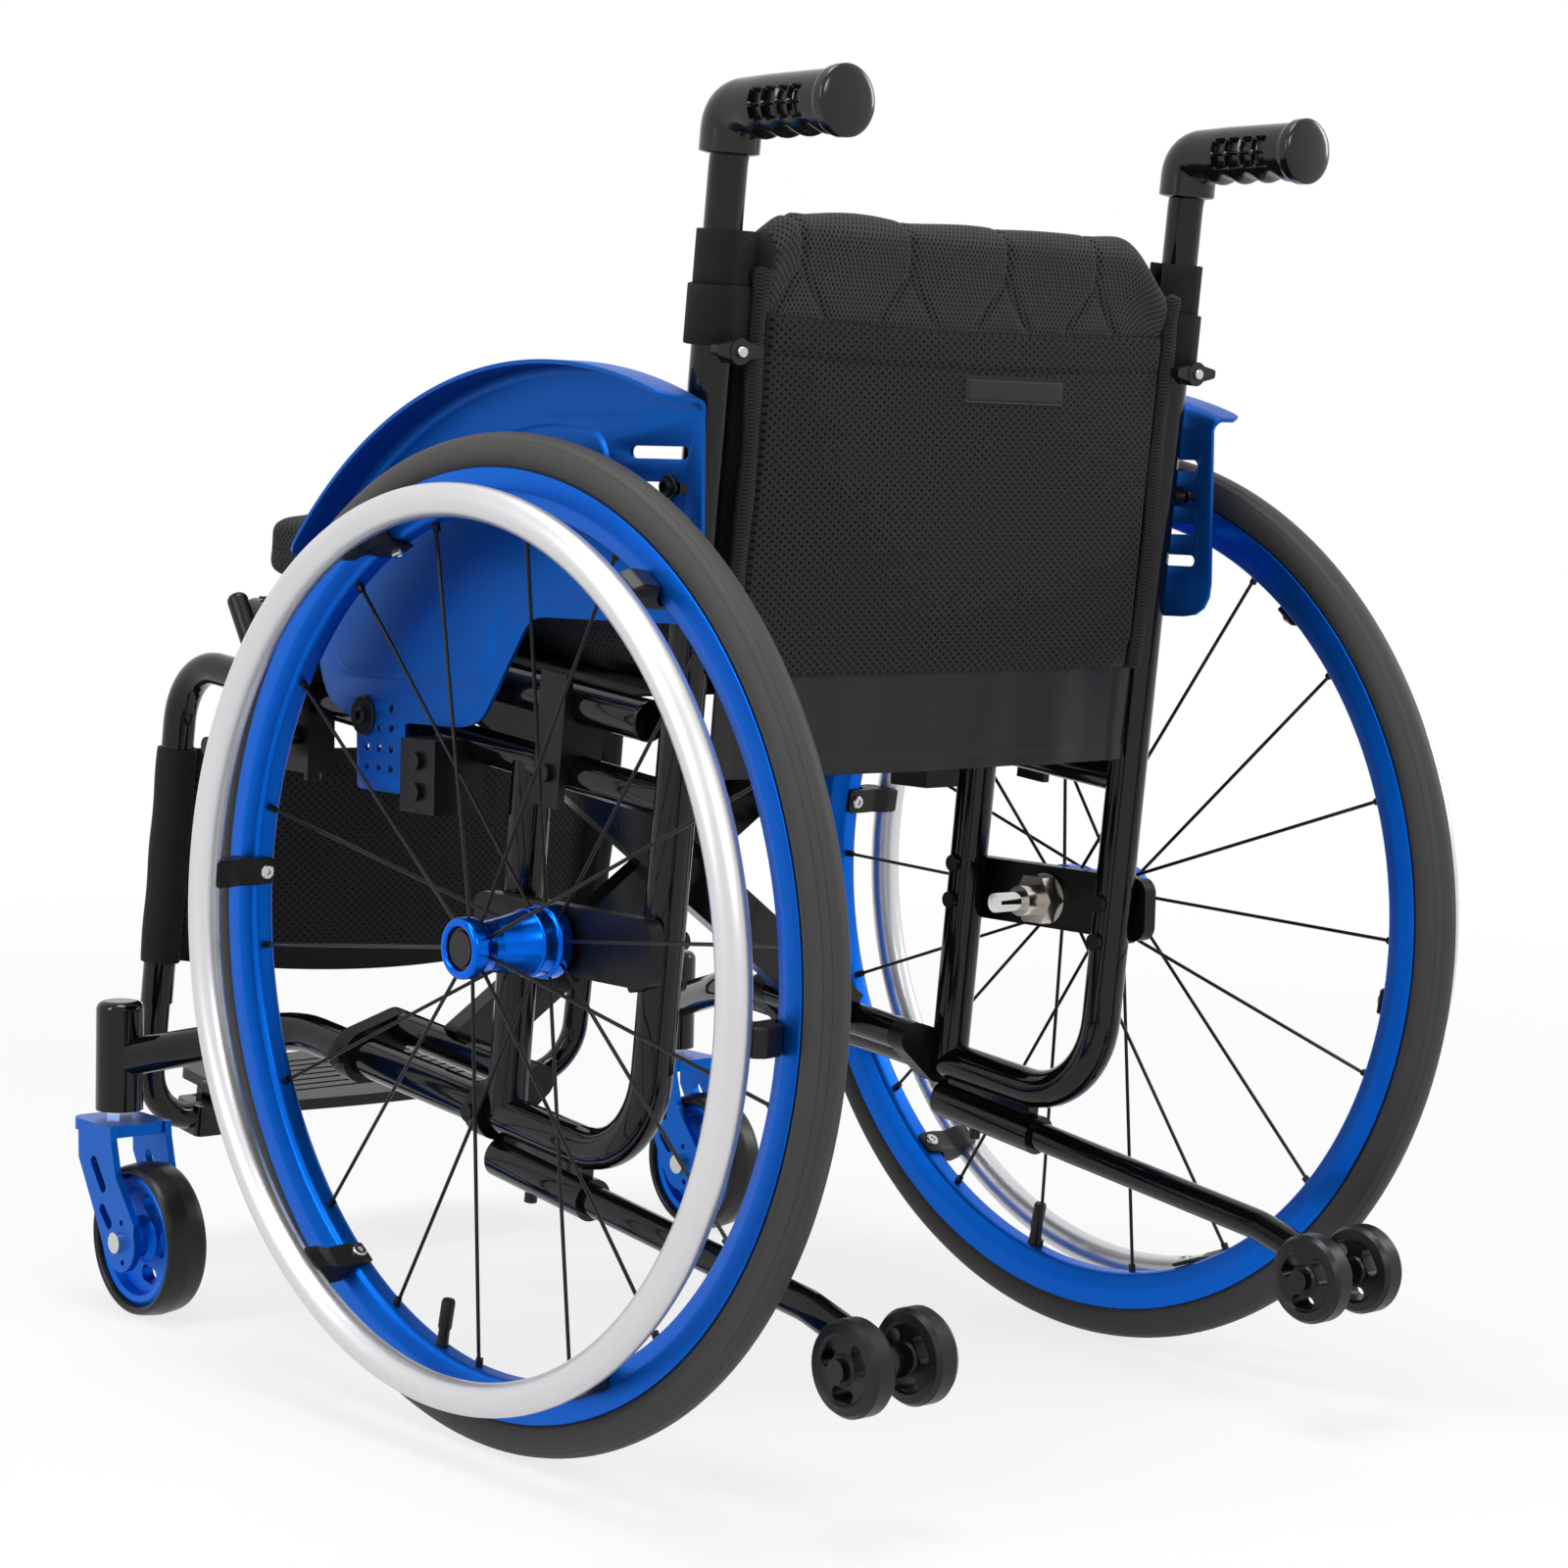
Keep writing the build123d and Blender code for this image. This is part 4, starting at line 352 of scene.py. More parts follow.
rim_blue = coating("rim_blue_anodise", (0.001, 0.12, 0.61), 0.4, metal=0.85, grain=2400.0, tint=0.06,
                   shine=0.2)
hub_blue = coating("hub_blue_anodise", (0.001, 0.12, 0.7), 0.22, metal=0.95, grain=600.0, tint=0.05,
                   shine=0.3)
silver = coating("handrim_silver", (0.66, 0.66, 0.67), 0.36, metal=0.9, grain=2200.0, tint=0.03)
spoke_black = coating("spoke_black", (0.005, 0.005, 0.006), 0.3, metal=0.2, shine=0.25)
clip_black = coating("clip_black", (0.008, 0.008, 0.008), 0.42, grain=1600.0, bump=0.00006, shine=0.25)
steel = coating("bright_steel", (0.56, 0.56, 0.55), 0.2, metal=1.0, grain=1500.0)


def spread_around(outline, width, angles, centre, way, ease=0.0012):
    """Blocks set round a wheel: an outline of (x, radius) carried across a width, at each angle from the
    rear towards the top, with both ends drawn in by the ease."""
    outline = rounded(outline, 0.0015, 4)
    middle = outline.mean(axis=0)
    across = np.array((-width / 2, ease - width / 2, width / 2 - ease, width / 2))[:, None]
    shrink = np.array((0.9, 1.0, 1.0, 0.9))[:, None, None]
    drawn = middle + (outline - middle) * shrink
    made = []
    for angle in np.radians(angles):
        out = np.array((0, math.cos(angle), math.sin(angle)))
        along = np.array((0, -math.sin(angle), math.cos(angle)))
        points = drawn[..., :1] * (way, 0, 0) + drawn[..., 1:] * out + across[..., None] * along
        made.append(skin(points + np.asarray(centre, float), columns_meet=True, shut=True))
    return made


for side, way in SIDES:
    centre = (way * WHEEL_X, AXLE_Y, AXLE_Z)
    wheel = "wheel_" + side
    clip_angles = FIRST_CLIPS[side] + np.arange(6) * 60.0
    valve_out = (0, -math.cos(VALVE_ANGLE), -math.sin(VALVE_ANGLE))
    valve_place = (way * WHEEL_X, AXLE_Y + RIM_BED * math.cos(VALVE_ANGLE),
                   AXLE_Z + RIM_BED * math.sin(VALVE_ANGLE))
    tyre = piece("tyre_skin_" + side, turned(rounded(TREAD, 0.0016, 3), centre, 192))
    fitted(tyre, rubber, "tyre_rubber", wheel, "tyre_" + side)
    rim = piece("rim_skin_" + side, turned(rounded(SECTION, 0.0012, 4), centre, 192))
    fitted(rim, rim_blue, "rim_blue", wheel, "rim_" + side)
    valve = piece("valve_" + side, turned(VALVE, valve_place, 20, closed=False, axis=valve_out, shut=True))
    fitted(valve, clip_black, "black_plastic", wheel)
    hoop = np.linspace(0, 2 * np.pi, 28, endpoint=False)
    ring = np.stack((HANDRIM_OUT * way + HANDRIM_TUBE * np.cos(hoop),
                     HANDRIM_MEAN + HANDRIM_TUBE * np.sin(hoop)), axis=-1)
    handrim = piece("handrim_skin_" + side, turned(ring, centre, 192))
    fitted(handrim, silver, "handrim_silver", wheel, "handrim_" + side)
    clips = piece("clips_" + side, *spread_around(CLIP, CLIP_WIDTH, clip_angles, centre, way))
    fitted(clips, clip_black, "black_plastic", wheel, "handrim_clips_" + side)
    tabs = []
    for angle in np.radians(clip_angles):
        out = np.array((0, math.cos(angle), math.sin(angle)))
        place = np.asarray(centre, float) + out * CLIP_SCREW_R + (way * 0.0010, 0, 0)
        tabs.append(turned(CLIP_SCREW, place, 20, closed=False, axis=-out, shut=True))
    clip_screws = piece("clip_screws_" + side, *tabs)
    fitted(clip_screws, steel, "nickel", wheel)
    dress(spoke_black, "spokes_" + side)
    shell = turned([(way * (x - WHEEL_X), r) for x, r in rounded(HUB, 0.0007, 4)], centre, 96)
    hub = piece("hub_skin_" + side, shell, crease=35)
    fitted(hub, hub_blue, "hub_blue", wheel, "hub_" + side)

# Quick-release axles
# A chromed push-button axle passes through a nickel-plated sleeve that is held in the black plate by a
# nut and a washer. The button is a plain black disc in the recess of the hub, and the chromed head of the
# axle round it is painted black too: painted shade in that recess.
chrome = coating("axle_chrome", (0.66, 0.65, 0.64), 0.09, metal=1.0, grain=500.0)
nickel = coating("sleeve_nickel", (0.56, 0.53, 0.48), 0.2, metal=1.0, grain=1200.0)
button_black = coating("button_black", (0.005, 0.005, 0.006), 0.3, shine=0.3)
PIN_HEAD_X = 0.2664


def middles(mesh):
    """Middle of each face, one row each."""
    flat = np.zeros(len(mesh.polygons) * 3)
    mesh.polygons.foreach_get("center", flat)
    return flat.reshape(-1, 3)


def two_finishes(name, plain, special, chosen):
    """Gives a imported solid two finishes: the faces whose middles are chosen get the special one."""
    mesh = nodes[name].data
    dress(plain, name)
    mesh.materials.append(special)
    here = chosen(middles(mesh))
    mesh.polygons.foreach_set("material_index", np.where(here, len(mesh.materials) - 1, 0).astype(np.int32))


for side, _ in SIDES:
    # The pin's head faces, inside the hub's recess, get the black finish: painted shade for that recess.
    two_finishes("axle_pin_" + side, chrome, button_black, lambda middle: abs(middle[:, 0]) > PIN_HEAD_X)
    dress(nickel, "axle_sleeve_" + side)
    dress(button_black, "hub_button_" + side, "anti_tip_button_" + side)

# Casters
# A pressed fork in satin blue carries a small black tyre on a blue five-window hub, on a plated bolt.
# The stem has a plated nut under the black housing of the frame.
fork_blue = coating("fork_blue_satin", (0.001, 0.105, 0.5), 0.36, metal=0.8, grain=2000.0, tint=0.08,
                    shine=0.2)
caster_rubber = coating("caster_rubber", (0.007, 0.007, 0.007), 0.34, grain=2200.0, bump=0.00004, shine=0.3)

STEM_X = 0.241
STEM_Y = AXLE_Y - 0.438
CASTER_Y = AXLE_Y - 0.398
CASTER_Z = 0.0515
NUT_R = 0.0102
NUT_Z = 0.1268
BOLT_R = 0.0075
BOLT_FACE = 0.0237
BEARING_R = 0.0088
CASTER_TREAD = [(-0.0110, 0.0440), (0.0110, 0.0440), (0.0140, 0.0450), (0.0150, 0.0475), (0.0140, 0.0492),
                (0.0110, 0.0502), (0.0, 0.0515), (-0.0110, 0.0502), (-0.0140, 0.0492), (-0.0150, 0.0475),
                (-0.0140, 0.0450)]
for side, way in SIDES:
    def plated(middle):
        """The nut on the stem and the two ends of the wheel bolt."""
        from_stem = np.hypot(middle[:, 0] - way * STEM_X, middle[:, 1] - STEM_Y)
        from_bolt = np.hypot(middle[:, 1] - CASTER_Y, middle[:, 2] - CASTER_Z)
        off_centre = abs(middle[:, 0] - way * STEM_X)
        nut = (from_stem < NUT_R) & (middle[:, 2] > NUT_Z)
        return nut | ((from_bolt < BOLT_R) & (off_centre > BOLT_FACE))

    def bearing(middle):
        """The middle of the wheel, round its bolt."""
        return np.hypot(middle[:, 1] - CASTER_Y, middle[:, 2] - CASTER_Z) < BEARING_R

    two_finishes("caster_fork_" + side, fork_blue, steel, plated)
    two_finishes("caster_hub_" + side, rim_blue, steel, bearing)
    tread = turned(rounded(CASTER_TREAD, 0.002, 4), (way * STEM_X, CASTER_Y, CASTER_Z), 96)
    small = piece("caster_tyre_skin_" + side, tread)
    fitted(small, caster_rubber, "caster_rubber", "caster_wheel_" + side, "caster_tyre_" + side)

# Side guards
# A sheet pressed from blue-painted aluminium: a raised field in its middle, four slots at the rear, a
# tab of round holes below, and a flange that turns out over the tyre. Two screws hold it.
# The guard's blue is deeper than the rim's: partly its own paint, partly painted shade on the upright sheet.
guard_blue = coating("guard_blue_satin", (0.001, 0.085, 0.4), 0.44, metal=0.75, grain=2600.0, tint=0.06,
                     shine=0.2)
GUARD_X = 0.2065
GUARD_SHEET = 0.0025
BEND = 0.008
FLANGE_X = 0.2355
FLANGE_CORNER = 0.012
FIELD_RISE = 0.0016
FIELD_SLOPE = 0.005
CREST = np.array(((-0.252, 0.512), (-0.018, 0.6335), (0.127, 0.613)))
EDGE = [(0.127, 0.488), (-0.030, 0.485), (-0.077, 0.420), (-0.096, 0.4145), (-0.156, 0.4135),
        (-0.156, 0.369), (-0.207, 0.369), (-0.209, 0.412), (-0.240, 0.420), (-0.254, 0.450)]
EASES = (0.022, 0.012, 0.030, 0.012, 0.002, 0.004, 0.004, 0.002, 0.022, 0.022)
FIELD = np.array(((-0.232, 0.440), (-0.067, 0.440), (-0.063, 0.489), (-0.005, 0.497), (0.050, 0.497),
                  (0.042, 0.596), (-0.017, 0.600), (-0.110, 0.584), (-0.200, 0.525), (-0.238, 0.478)))
TAB_HOLES = ((-0.197, 0.384), (-0.184, 0.384), (-0.171, 0.384), (-0.197, 0.396), (-0.184, 0.396),
             (-0.171, 0.396), (-0.171, 0.409), (-0.184, 0.409), (-0.171, 0.421))
GUARD_SCREWS = ((-0.20055, 0.41526, 0.0125, 0.1975), (0.09707, 0.56393, 0.0070, 0.1980))


def circle_through(a, b, c):
    """Centre of the circle through three points: it is as far from the first as from each other one."""
    ways = 2 * np.array((b - a, c - a))
    reach = np.array((b @ b - a @ a, c @ c - a @ a))
    return np.linalg.solve(ways, reach)


def crest_arc(inset, steps=72):
    """The guard's crest, moved in towards its centre by the inset."""
    middle = circle_through(*CREST)
    spoke = CREST - middle
    radius = np.linalg.norm(spoke[0]) - inset
    first, last = np.arctan2(spoke[0, 1], spoke[0, 0]), np.arctan2(spoke[2, 1], spoke[2, 0])
    angle = np.linspace(first, last, steps)
    return middle + radius * np.stack((np.cos(angle), np.sin(angle)), axis=-1)


def oval(place, length, width, steps=12):
    """Outline of a slot with round ends: two half circles."""
    angle = np.linspace(-np.pi / 2, np.pi / 2, steps)
    half = np.stack(((length - width) / 2 + width / 2 * np.cos(angle), width / 2 * np.sin(angle)), axis=-1)
    return np.asarray(place) + np.vstack((half, -half))


def flat_sheet(outline, holes, x):
    """Flat skin inside an outline of (y, z), less its holes, filled by triangles."""
    rings = [np.asarray(ring) for ring in (outline, *holes)]
    corners = np.vstack(rings)
    flat = [[Vector((0, y, z)) for y, z in ring] for ring in rings]
    faces = [list(face) for face in tessellate_polygon(flat)]
    points = np.column_stack((np.full(len(corners), x), corners[:, 0] + AXLE_Y, corners[:, 1]))
    return points, faces, np.zeros((len(corners), 2))


for side, way in SIDES:
    field = rounded(FIELD, 0.022, 8)
    heading = np.roll(field, -1, axis=0) - np.roll(field, 1, axis=0)
    inward = np.column_stack((-heading[:, 1], heading[:, 0]))
    slopes = []
    for share, rise in ((0.0, 0.0), (0.25, 0.0002), (0.5, 0.0008), (0.75, 0.0014), (1.0, FIELD_RISE)):
        ring = field + inward / np.linalg.norm(inward, axis=1, keepdims=True) * FIELD_SLOPE * share
        face_x = np.full(len(ring), way * (GUARD_X + rise))
        slopes.append(np.column_stack((face_x, ring[:, 0] + AXLE_Y, ring[:, 1])))
    raised = slopes[-1][:, 1:] - (AXLE_Y, 0)
    top = crest_arc(BEND)
    bottom = rounded(np.vstack((top[-1:], EDGE, top[:1])), np.array((0, *EASES, 0))[:, None] + 1e-9, 5)
    outline = np.vstack((top, bottom[5:-5]))
    holes = [oval((0.087, 0.523 + 0.020 * row), 0.052, 0.007) for row in range(4)]
    holes += [oval(place, 0.0052, 0.00519, 8) for place in TAB_HOLES]
    plate = flat_sheet(outline, [field, *holes], way * GUARD_X)
    lid = flat_sheet(raised, [], way * (GUARD_X + FIELD_RISE))
    along = np.linalg.norm(np.diff(crest_arc(0), axis=0), axis=1).cumsum()
    from_end = np.concatenate(([0], along))
    from_end = np.minimum(from_end, from_end[-1] - from_end)
    trim = FLANGE_CORNER * (1 - np.sqrt(1 - np.clip(1 - from_end / FLANGE_CORNER, 0, 1) ** 2))
    rows = []
    for turn in np.linspace(0, np.pi / 2, 7):
        line = crest_arc(BEND * (1 - math.sin(turn)))
        x = np.full(len(line), GUARD_X + BEND * (1 - math.cos(turn)))
        rows.append(np.column_stack((way * x, line[:, 0] + AXLE_Y, line[:, 1])))
    for share in (0.3, 0.6, 1.0):
        line = crest_arc(0)
        x = GUARD_X + BEND + (FLANGE_X - trim - GUARD_X - BEND) * share
        rows.append(np.column_stack((way * x, line[:, 0] + AXLE_Y, line[:, 1])))
    border = skin(np.array(slopes), columns_meet=True)
    guard = piece("guard_" + side, plate, lid, border, skin(np.array(rows)))
    shape = guard.data
    normals = np.zeros(len(shape.polygons) * 3)
    shape.polygons.foreach_get("normal", normals)
    areas = np.zeros(len(shape.polygons))
    shape.polygons.foreach_get("area", areas)
    if (normals.reshape(-1, 3)[:, 0] * areas).sum() * way > 0:
        shape.flip_normals()
    wall = guard.modifiers.new("wall", "SOLIDIFY")
    wall.thickness = GUARD_SHEET
    wall.offset = -1.0
    ease = guard.modifiers.new("ease", "BEVEL")
    ease.width = 0.0004
    ease.segments = 2
    ease.angle_limit = math.radians(60)
    fitted(guard, guard_blue, "guard_blue", "frame_" + side, "side_guard_" + side)
    fixings = []
    for y, z, washer, root in GUARD_SCREWS:
        place = (0, AXLE_Y + y, z)
        face = GUARD_X + GUARD_SHEET
        bolt = [(root, 0.0064), (GUARD_X, 0.0064), (GUARD_X + 0.0001, 0.0030), (face, 0.0030),
                (face, washer), (face + 0.0014, washer), (face + 0.0020, washer - 0.0008),
                (face + 0.0020, 0.0052), (face + 0.0036, 0.0050), (face + 0.0049, 0.0038),
                (face + 0.0050, 0.0026), (face + 0.0030, 0.0024)]
        bolt = [(way * x, r) for x, r in bolt]
        fixings.append(turned(bolt, place, 40, closed=False, shut=True))
    fixing = piece("guard_screws_" + side, *fixings, crease=30)
    fitted(fixing, satin_black, "frame_black", "frame_" + side)

# Wheel locks
# A pressed steel lever with a moulded knob and a round shoe bar that is pushed on to the tyre.
plastic = coating("moulded_black", (0.007, 0.007, 0.007), 0.36, grain=1800.0, bump=0.00005, shine=0.3)
for side, _ in SIDES:
    dress(satin_black, "brake_lever_" + side)

# Push grips
# A glossy moulded grip slides over the bent handle tube: an inset window of eight cells on each side,
# finger hollows underneath and a wider rounded end. A winged knob with a plated screw locks the tube.
grip_black = coating("grip_gloss_black", (0.004, 0.004, 0.004), 0.17, grain=700.0, bump=0.00003, shine=0.4)
TILT = math.radians(5.5)
CANE_X = 0.186
CANE_S = 0.071
GRIP_LOW_H = 0.4608
GRIP_BEND_H = 0.4856
GRIP_REAR = 0.2158
GRIP_STEP = 0.0008
GRIP_R = 0.0172
FINGER_GAP = 0.0185
CELL = 0.011
CELL_DEPTH = 0.0036
KNOB_SCREW = [(0.0, 0.0030), (0.0006, 0.0034), (0.0020, 0.0034), (0.0028, 0.0028), (0.0030, 0.0012)]


def at(x, s, h):
    """Place in the tilted side frame: s metres rearwards along it and h up it, from the axle."""
    x, s, h = np.broadcast_arrays(np.asarray(x, float), s, h)
    return np.stack((x, AXLE_Y + s * math.cos(TILT) + h * math.sin(TILT),
                     AXLE_Z + h * math.cos(TILT) - s * math.sin(TILT)), axis=-1)


def step_up(value, low, high):
    """Smooth step: 0 below low, 1 above high and an even curve between."""
    t = np.clip((value - low) / (high - low), 0, 1)
    return t * t * (3 - 2 * t)


def carried(path, across, side):
    """A grid of points from offsets carried along a path: each row is set square to the path, its first
    offset along the side direction and its second square to both."""
    ahead = np.gradient(path, axis=0)
    ahead /= np.linalg.norm(ahead, axis=1, keepdims=True)
    side = np.asarray(side, float) - (ahead @ np.asarray(side, float))[:, None] * ahead
    side /= np.linalg.norm(side, axis=1, keepdims=True)
    under = np.cross(ahead, side)
    return path[:, None] + across[..., :1] * side[:, None] + across[..., 1:] * under[:, None]


def even(line, gap):
    """The same line with its points evenly spaced at about the gap."""
    run = np.concatenate(([0], np.linalg.norm(np.diff(line, axis=0), axis=1).cumsum()))
    wanted = np.linspace(0, run[-1], int(run[-1] / gap) + 1)
    return np.stack([np.interp(wanted, run, line[:, axis]) for axis in range(line.shape[1])], axis=-1)


for side, way in SIDES:
    corner = at(way * CANE_X, CANE_S, GRIP_BEND_H)
    low_end = at(way * CANE_X, CANE_S, GRIP_LOW_H)
    far_end = np.array((way * CANE_X, AXLE_Y + GRIP_REAR, corner[2]))
    line = even(rounded([low_end, corner, far_end], 0.032, 16, closed=False), GRIP_STEP)
    run = np.linspace(0, (len(line) - 1) * GRIP_STEP, len(line))
    angle = np.linspace(0, 2 * np.pi, 144, endpoint=False)[None, :]
    reach = run[:, None]
    rest = (run[-1] - run)[:, None]
    radius = GRIP_R + 0.0006 * step_up(reach, 0.03, 0.06) + 0.0019 * step_up(-rest, -0.0125, -0.0085)
    fingers = 0.5 - 0.5 * np.cos(2 * np.pi * (rest - 0.016) / FINGER_GAP)
    below = np.clip(np.sin(angle), 0, 1) ** 3 * step_up(rest, 0.014, 0.018) * step_up(-rest, -0.093, -0.086)
    radius = radius - 0.0036 * fingers * below
    height = np.sin(angle) * 0.0178
    inset = step_up(rest, 0.0215, 0.0223) * step_up(-rest, -0.0665, -0.0657)
    inset = inset * step_up(-abs(height), -0.0092, -0.0084)
    cell = abs((rest - 0.022) / CELL % 1 - 0.5) * CELL
    rib = np.maximum(step_up(cell, 0.0044, 0.0049), step_up(-abs(height), -0.0012, -0.0006))
    radius = radius - CELL_DEPTH * inset * (1 - rib)
    end = np.clip(1 - rest / 0.0035, 0, 1)
    radius = radius * np.sqrt(np.clip(1 - (end * 0.97) ** 2.4, 0.0004, 1))
    start = np.clip(1 - reach / 0.0016, 0, 1)
    radius = radius - (radius - 0.0112) * start ** 2
    across = np.stack((radius * np.cos(angle), radius * np.sin(angle)), axis=-1)
    handful = skin(carried(line, across, (1, 0, 0)), columns_meet=True, shut=True)
    grip = piece("grip_skin_" + side, handful, crease=50)
    fitted(grip, grip_black, "grip_black", "handle_" + side, "grip_" + side)
    axis = at(0, 1, 0) - at(0, 0, 0)
    stud = turned(KNOB_SCREW, at(way * CANE_X, 0.0955, 0.354), 24, closed=False, axis=axis, shut=True)
    screw = piece("knob_screw_" + side, stud)
    fitted(screw, steel, "nickel", "knob_" + side)
    dress(plastic, "handle_knob_" + side)

# Anti-tip wheels
# Two moulded black wheels on a plated bolt at the end of each bent arm.
for side, _ in SIDES:
    dress(plastic, "anti_tip_wheels_" + side)

# Footplate
# One moulded black plate with moulded grip lines, hinged on the left leg tube.
dress(plastic, "footplate")

# Seat back
# A padded cover of black spacer mesh: quilted channels run over its rolled top, ribbed tape binds its
# sides, and a pocket with a plain patch is sewn on behind. Webbing loops tie it to the two canes.
BACK_HALF = 0.1715
BACK_SECTION = [(0.0660, 0.1670), (0.0850, 0.1670), (0.0850, 0.3980), (0.0895, 0.4150), (0.0890, 0.4250),
                (0.0815, 0.4322), (0.0700, 0.4322), (0.0632, 0.4250), (0.0625, 0.4150), (0.0660, 0.4000)]
CHANNELS = (0.137, 0.053, -0.024, -0.099)
PEAK_H = 0.402
MOUTH_H = 0.376
POCKET_HALF = 0.160
POCKET_LOW = 0.1680
POCKET_FACE = 0.0848
POCKET_CORNER = 0.024
PAD_MIDDLE = 0.0757


def reckon(tree, operation, *values):
    """Output of one Math node of the given operation, fed by sockets or plain numbers."""
    node = tree.nodes.new("ShaderNodeMath")
    node.operation = operation
    for place, value in enumerate(values):
        if isinstance(value, (int, float)):
            node.inputs[place].default_value = value
        else:
            tree.links.new(value, node.inputs[place])
    return node.outputs[0]


def knitted(name, thread, gap, across, along, depth, open_share=(0.2, 0.5)):
    """Cloth with staggered rows of holes: one opens wherever a cosine across the cloth times a cosine
    along it is high, and takes the gap colour, painted shade for the shade inside it. The pitches and the
    depth are in metres; broad clouds fade the thread."""
    made, tree, shader, place = fresh(name, 0.12)
    shader.inputs["Sheen Weight"].default_value = 0.04
    cloth = tree.nodes.new("ShaderNodeUVMap")
    cloth.uv_map = "cloth"
    parts = tree.nodes.new("ShaderNodeSeparateXYZ")
    tree.links.new(cloth.outputs["UV"], parts.inputs["Vector"])
    wave_across = reckon(tree, "COSINE", reckon(tree, "MULTIPLY", parts.outputs["X"], 2 * math.pi / across))
    wave_along = reckon(tree, "COSINE", reckon(tree, "MULTIPLY", parts.outputs["Y"], 2 * math.pi / along))
    hole = ranged(tree, reckon(tree, "MULTIPLY", wave_across, wave_along), 0.0, 1.0)
    hole.interpolation_type = "SMOOTHSTEP"
    hole.inputs["From Min"].default_value, hole.inputs["From Max"].default_value = open_share
    cloud = noise(tree, place, 14.0, 5.0)
    yarn = mixed(tree, cloud, [value * 0.75 for value in thread], [value * 1.25 for value in thread])
    # Each hole is painted in the gap colour: painted shade inside the hole, over the thread's own black.
    shade = mixed(tree, hole.outputs["Result"], thread, gap)
    tree.links.new(yarn.outputs["Result"], shade.inputs["A"])
    tree.links.new(shade.outputs["Result"], shader.inputs["Base Color"])
    tree.links.new(ranged(tree, cloud, 0.62, 0.92).outputs["Result"], shader.inputs["Roughness"])
    dented(tree, shader, hole.outputs["Result"], depth).invert = True
    return made


pocket_mesh = knitted("pocket_mesh", (0.024, 0.024, 0.026), (0.001, 0.001, 0.001), 0.0062, 0.0048, 0.0008)
# The roll's thread is about twice as light as the pocket's: painted light for the lamps above falling on the
# rolled top.
roll_mesh_painted_light = knitted("roll_mesh_painted_light", (0.046, 0.046, 0.048), (0.003, 0.003, 0.003), 0.0032, 0.0050, 0.0006)
webbing = knitted("webbing", (0.014, 0.014, 0.015), (0.004, 0.004, 0.004), 0.003, 0.0018, 0.0003, (-0.4,
                  0.9))
patch_rubber = coating("patch_rubber", (0.020, 0.020, 0.020), 0.5, grain=1500.0, bump=0.00006, shine=0.2)


def seam(distance, width=0.0022):
    """How deep a stitched line pulls the cover in: a bell curve of the distance from it."""
    return np.exp(-(distance / width) ** 2)


def quilting(x, h):
    """Seams on the rolled top: from each peak one line runs up over the roll, and two legs spread down to
    the mouth of the pocket."""
    pull = np.zeros(np.broadcast(x, h).shape)
    for middle in CHANNELS:
        rise = (h - PEAK_H) / (PEAK_H - MOUTH_H)
        leg = np.abs(np.abs(x - middle) + rise * 0.021) * 0.78
        below = step_up(-h, -PEAK_H, -PEAK_H + 0.002)
        pull = np.maximum(pull, seam(leg) * below)
        lean = (h - PEAK_H) * 0.22
        pull = np.maximum(pull, seam(np.abs(x - middle - lean)) * (1 - below))
    return pull


loop = rounded(BACK_SECTION, 0.007, 6)
loop = even(np.vstack((loop, loop[:1])), 0.002)[:-1]
ends = BACK_HALF - 0.009 * (1 - np.cos(np.linspace(0, np.pi / 2, 8)))
across = np.concatenate((-ends, np.linspace(-ends[-1], ends[-1], 172)[1:-1], ends[::-1]))
x = across[:, None]
s = np.broadcast_to(loop[None, :, 0], (len(across), len(loop))).copy()
h = np.broadcast_to(loop[None, :, 1], s.shape).copy()
taper = np.sqrt(np.clip(1 - ((np.abs(x) - ends[-1]) / 0.0092) ** 2, 0, 1))
taper = np.where(np.abs(x) > ends[-1], taper, 1.0)
rear = step_up(s, 0.0755, 0.080)
upper = step_up(h, 0.385, 0.412)
pull = quilting(x, h) * np.maximum(rear, step_up(h, 0.418, 0.426)) * step_up(h, 0.372, 0.378)
puff = 0.0016 * upper * np.abs(np.sin(np.pi * (x - 0.053) / 0.077)) - 0.0032 * pull
wave = 0.0008 * np.sin(x / 0.031 + 1.3) * np.sin(h / 0.043) + 0.0006 * np.sin(x / 0.017 + h / 0.029)
outward_s = (s - PAD_MIDDLE) / 0.0105
outward_h = step_up(h, 0.421, 0.432)
s = s + (puff + wave) * np.clip(outward_s, -1, 1) * (1 - outward_h)
h = h + (puff + wave) * outward_h
binding_seam = 0.0014 * seam(np.abs(np.abs(x) - 0.1610), 0.0012)
s = PAD_MIDDLE + (s - PAD_MIDDLE - binding_seam * np.sign(s - PAD_MIDDLE)) * taper
right_fall = 0.033 * step_up(-x, 0.118, 0.172) ** 1.2
left_fall = 0.016 * step_up(x, 0.140, 0.172)
h = h - (right_fall + left_fall) * step_up(h, 0.330, 0.432)
around = np.concatenate(([0], np.linalg.norm(np.diff(loop, axis=0), axis=1).cumsum()))
back_pad = piece("back_pad", skin(at(np.broadcast_to(x, s.shape), s, h), columns_meet=True, shut=True,
                                  cloth=np.broadcast_arrays(x, around[None, :])), crease=70)
fitted(back_pad, roll_mesh_painted_light, "mesh_fabric", "frame_left", "back_upholstery")
back_pad.data.materials.append(webbing)
at_side = np.abs(middles(back_pad.data)[:, 0]) > 0.1608
back_pad.data.polygons.foreach_set("material_index", at_side.astype(np.int32))
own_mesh(back_pad)


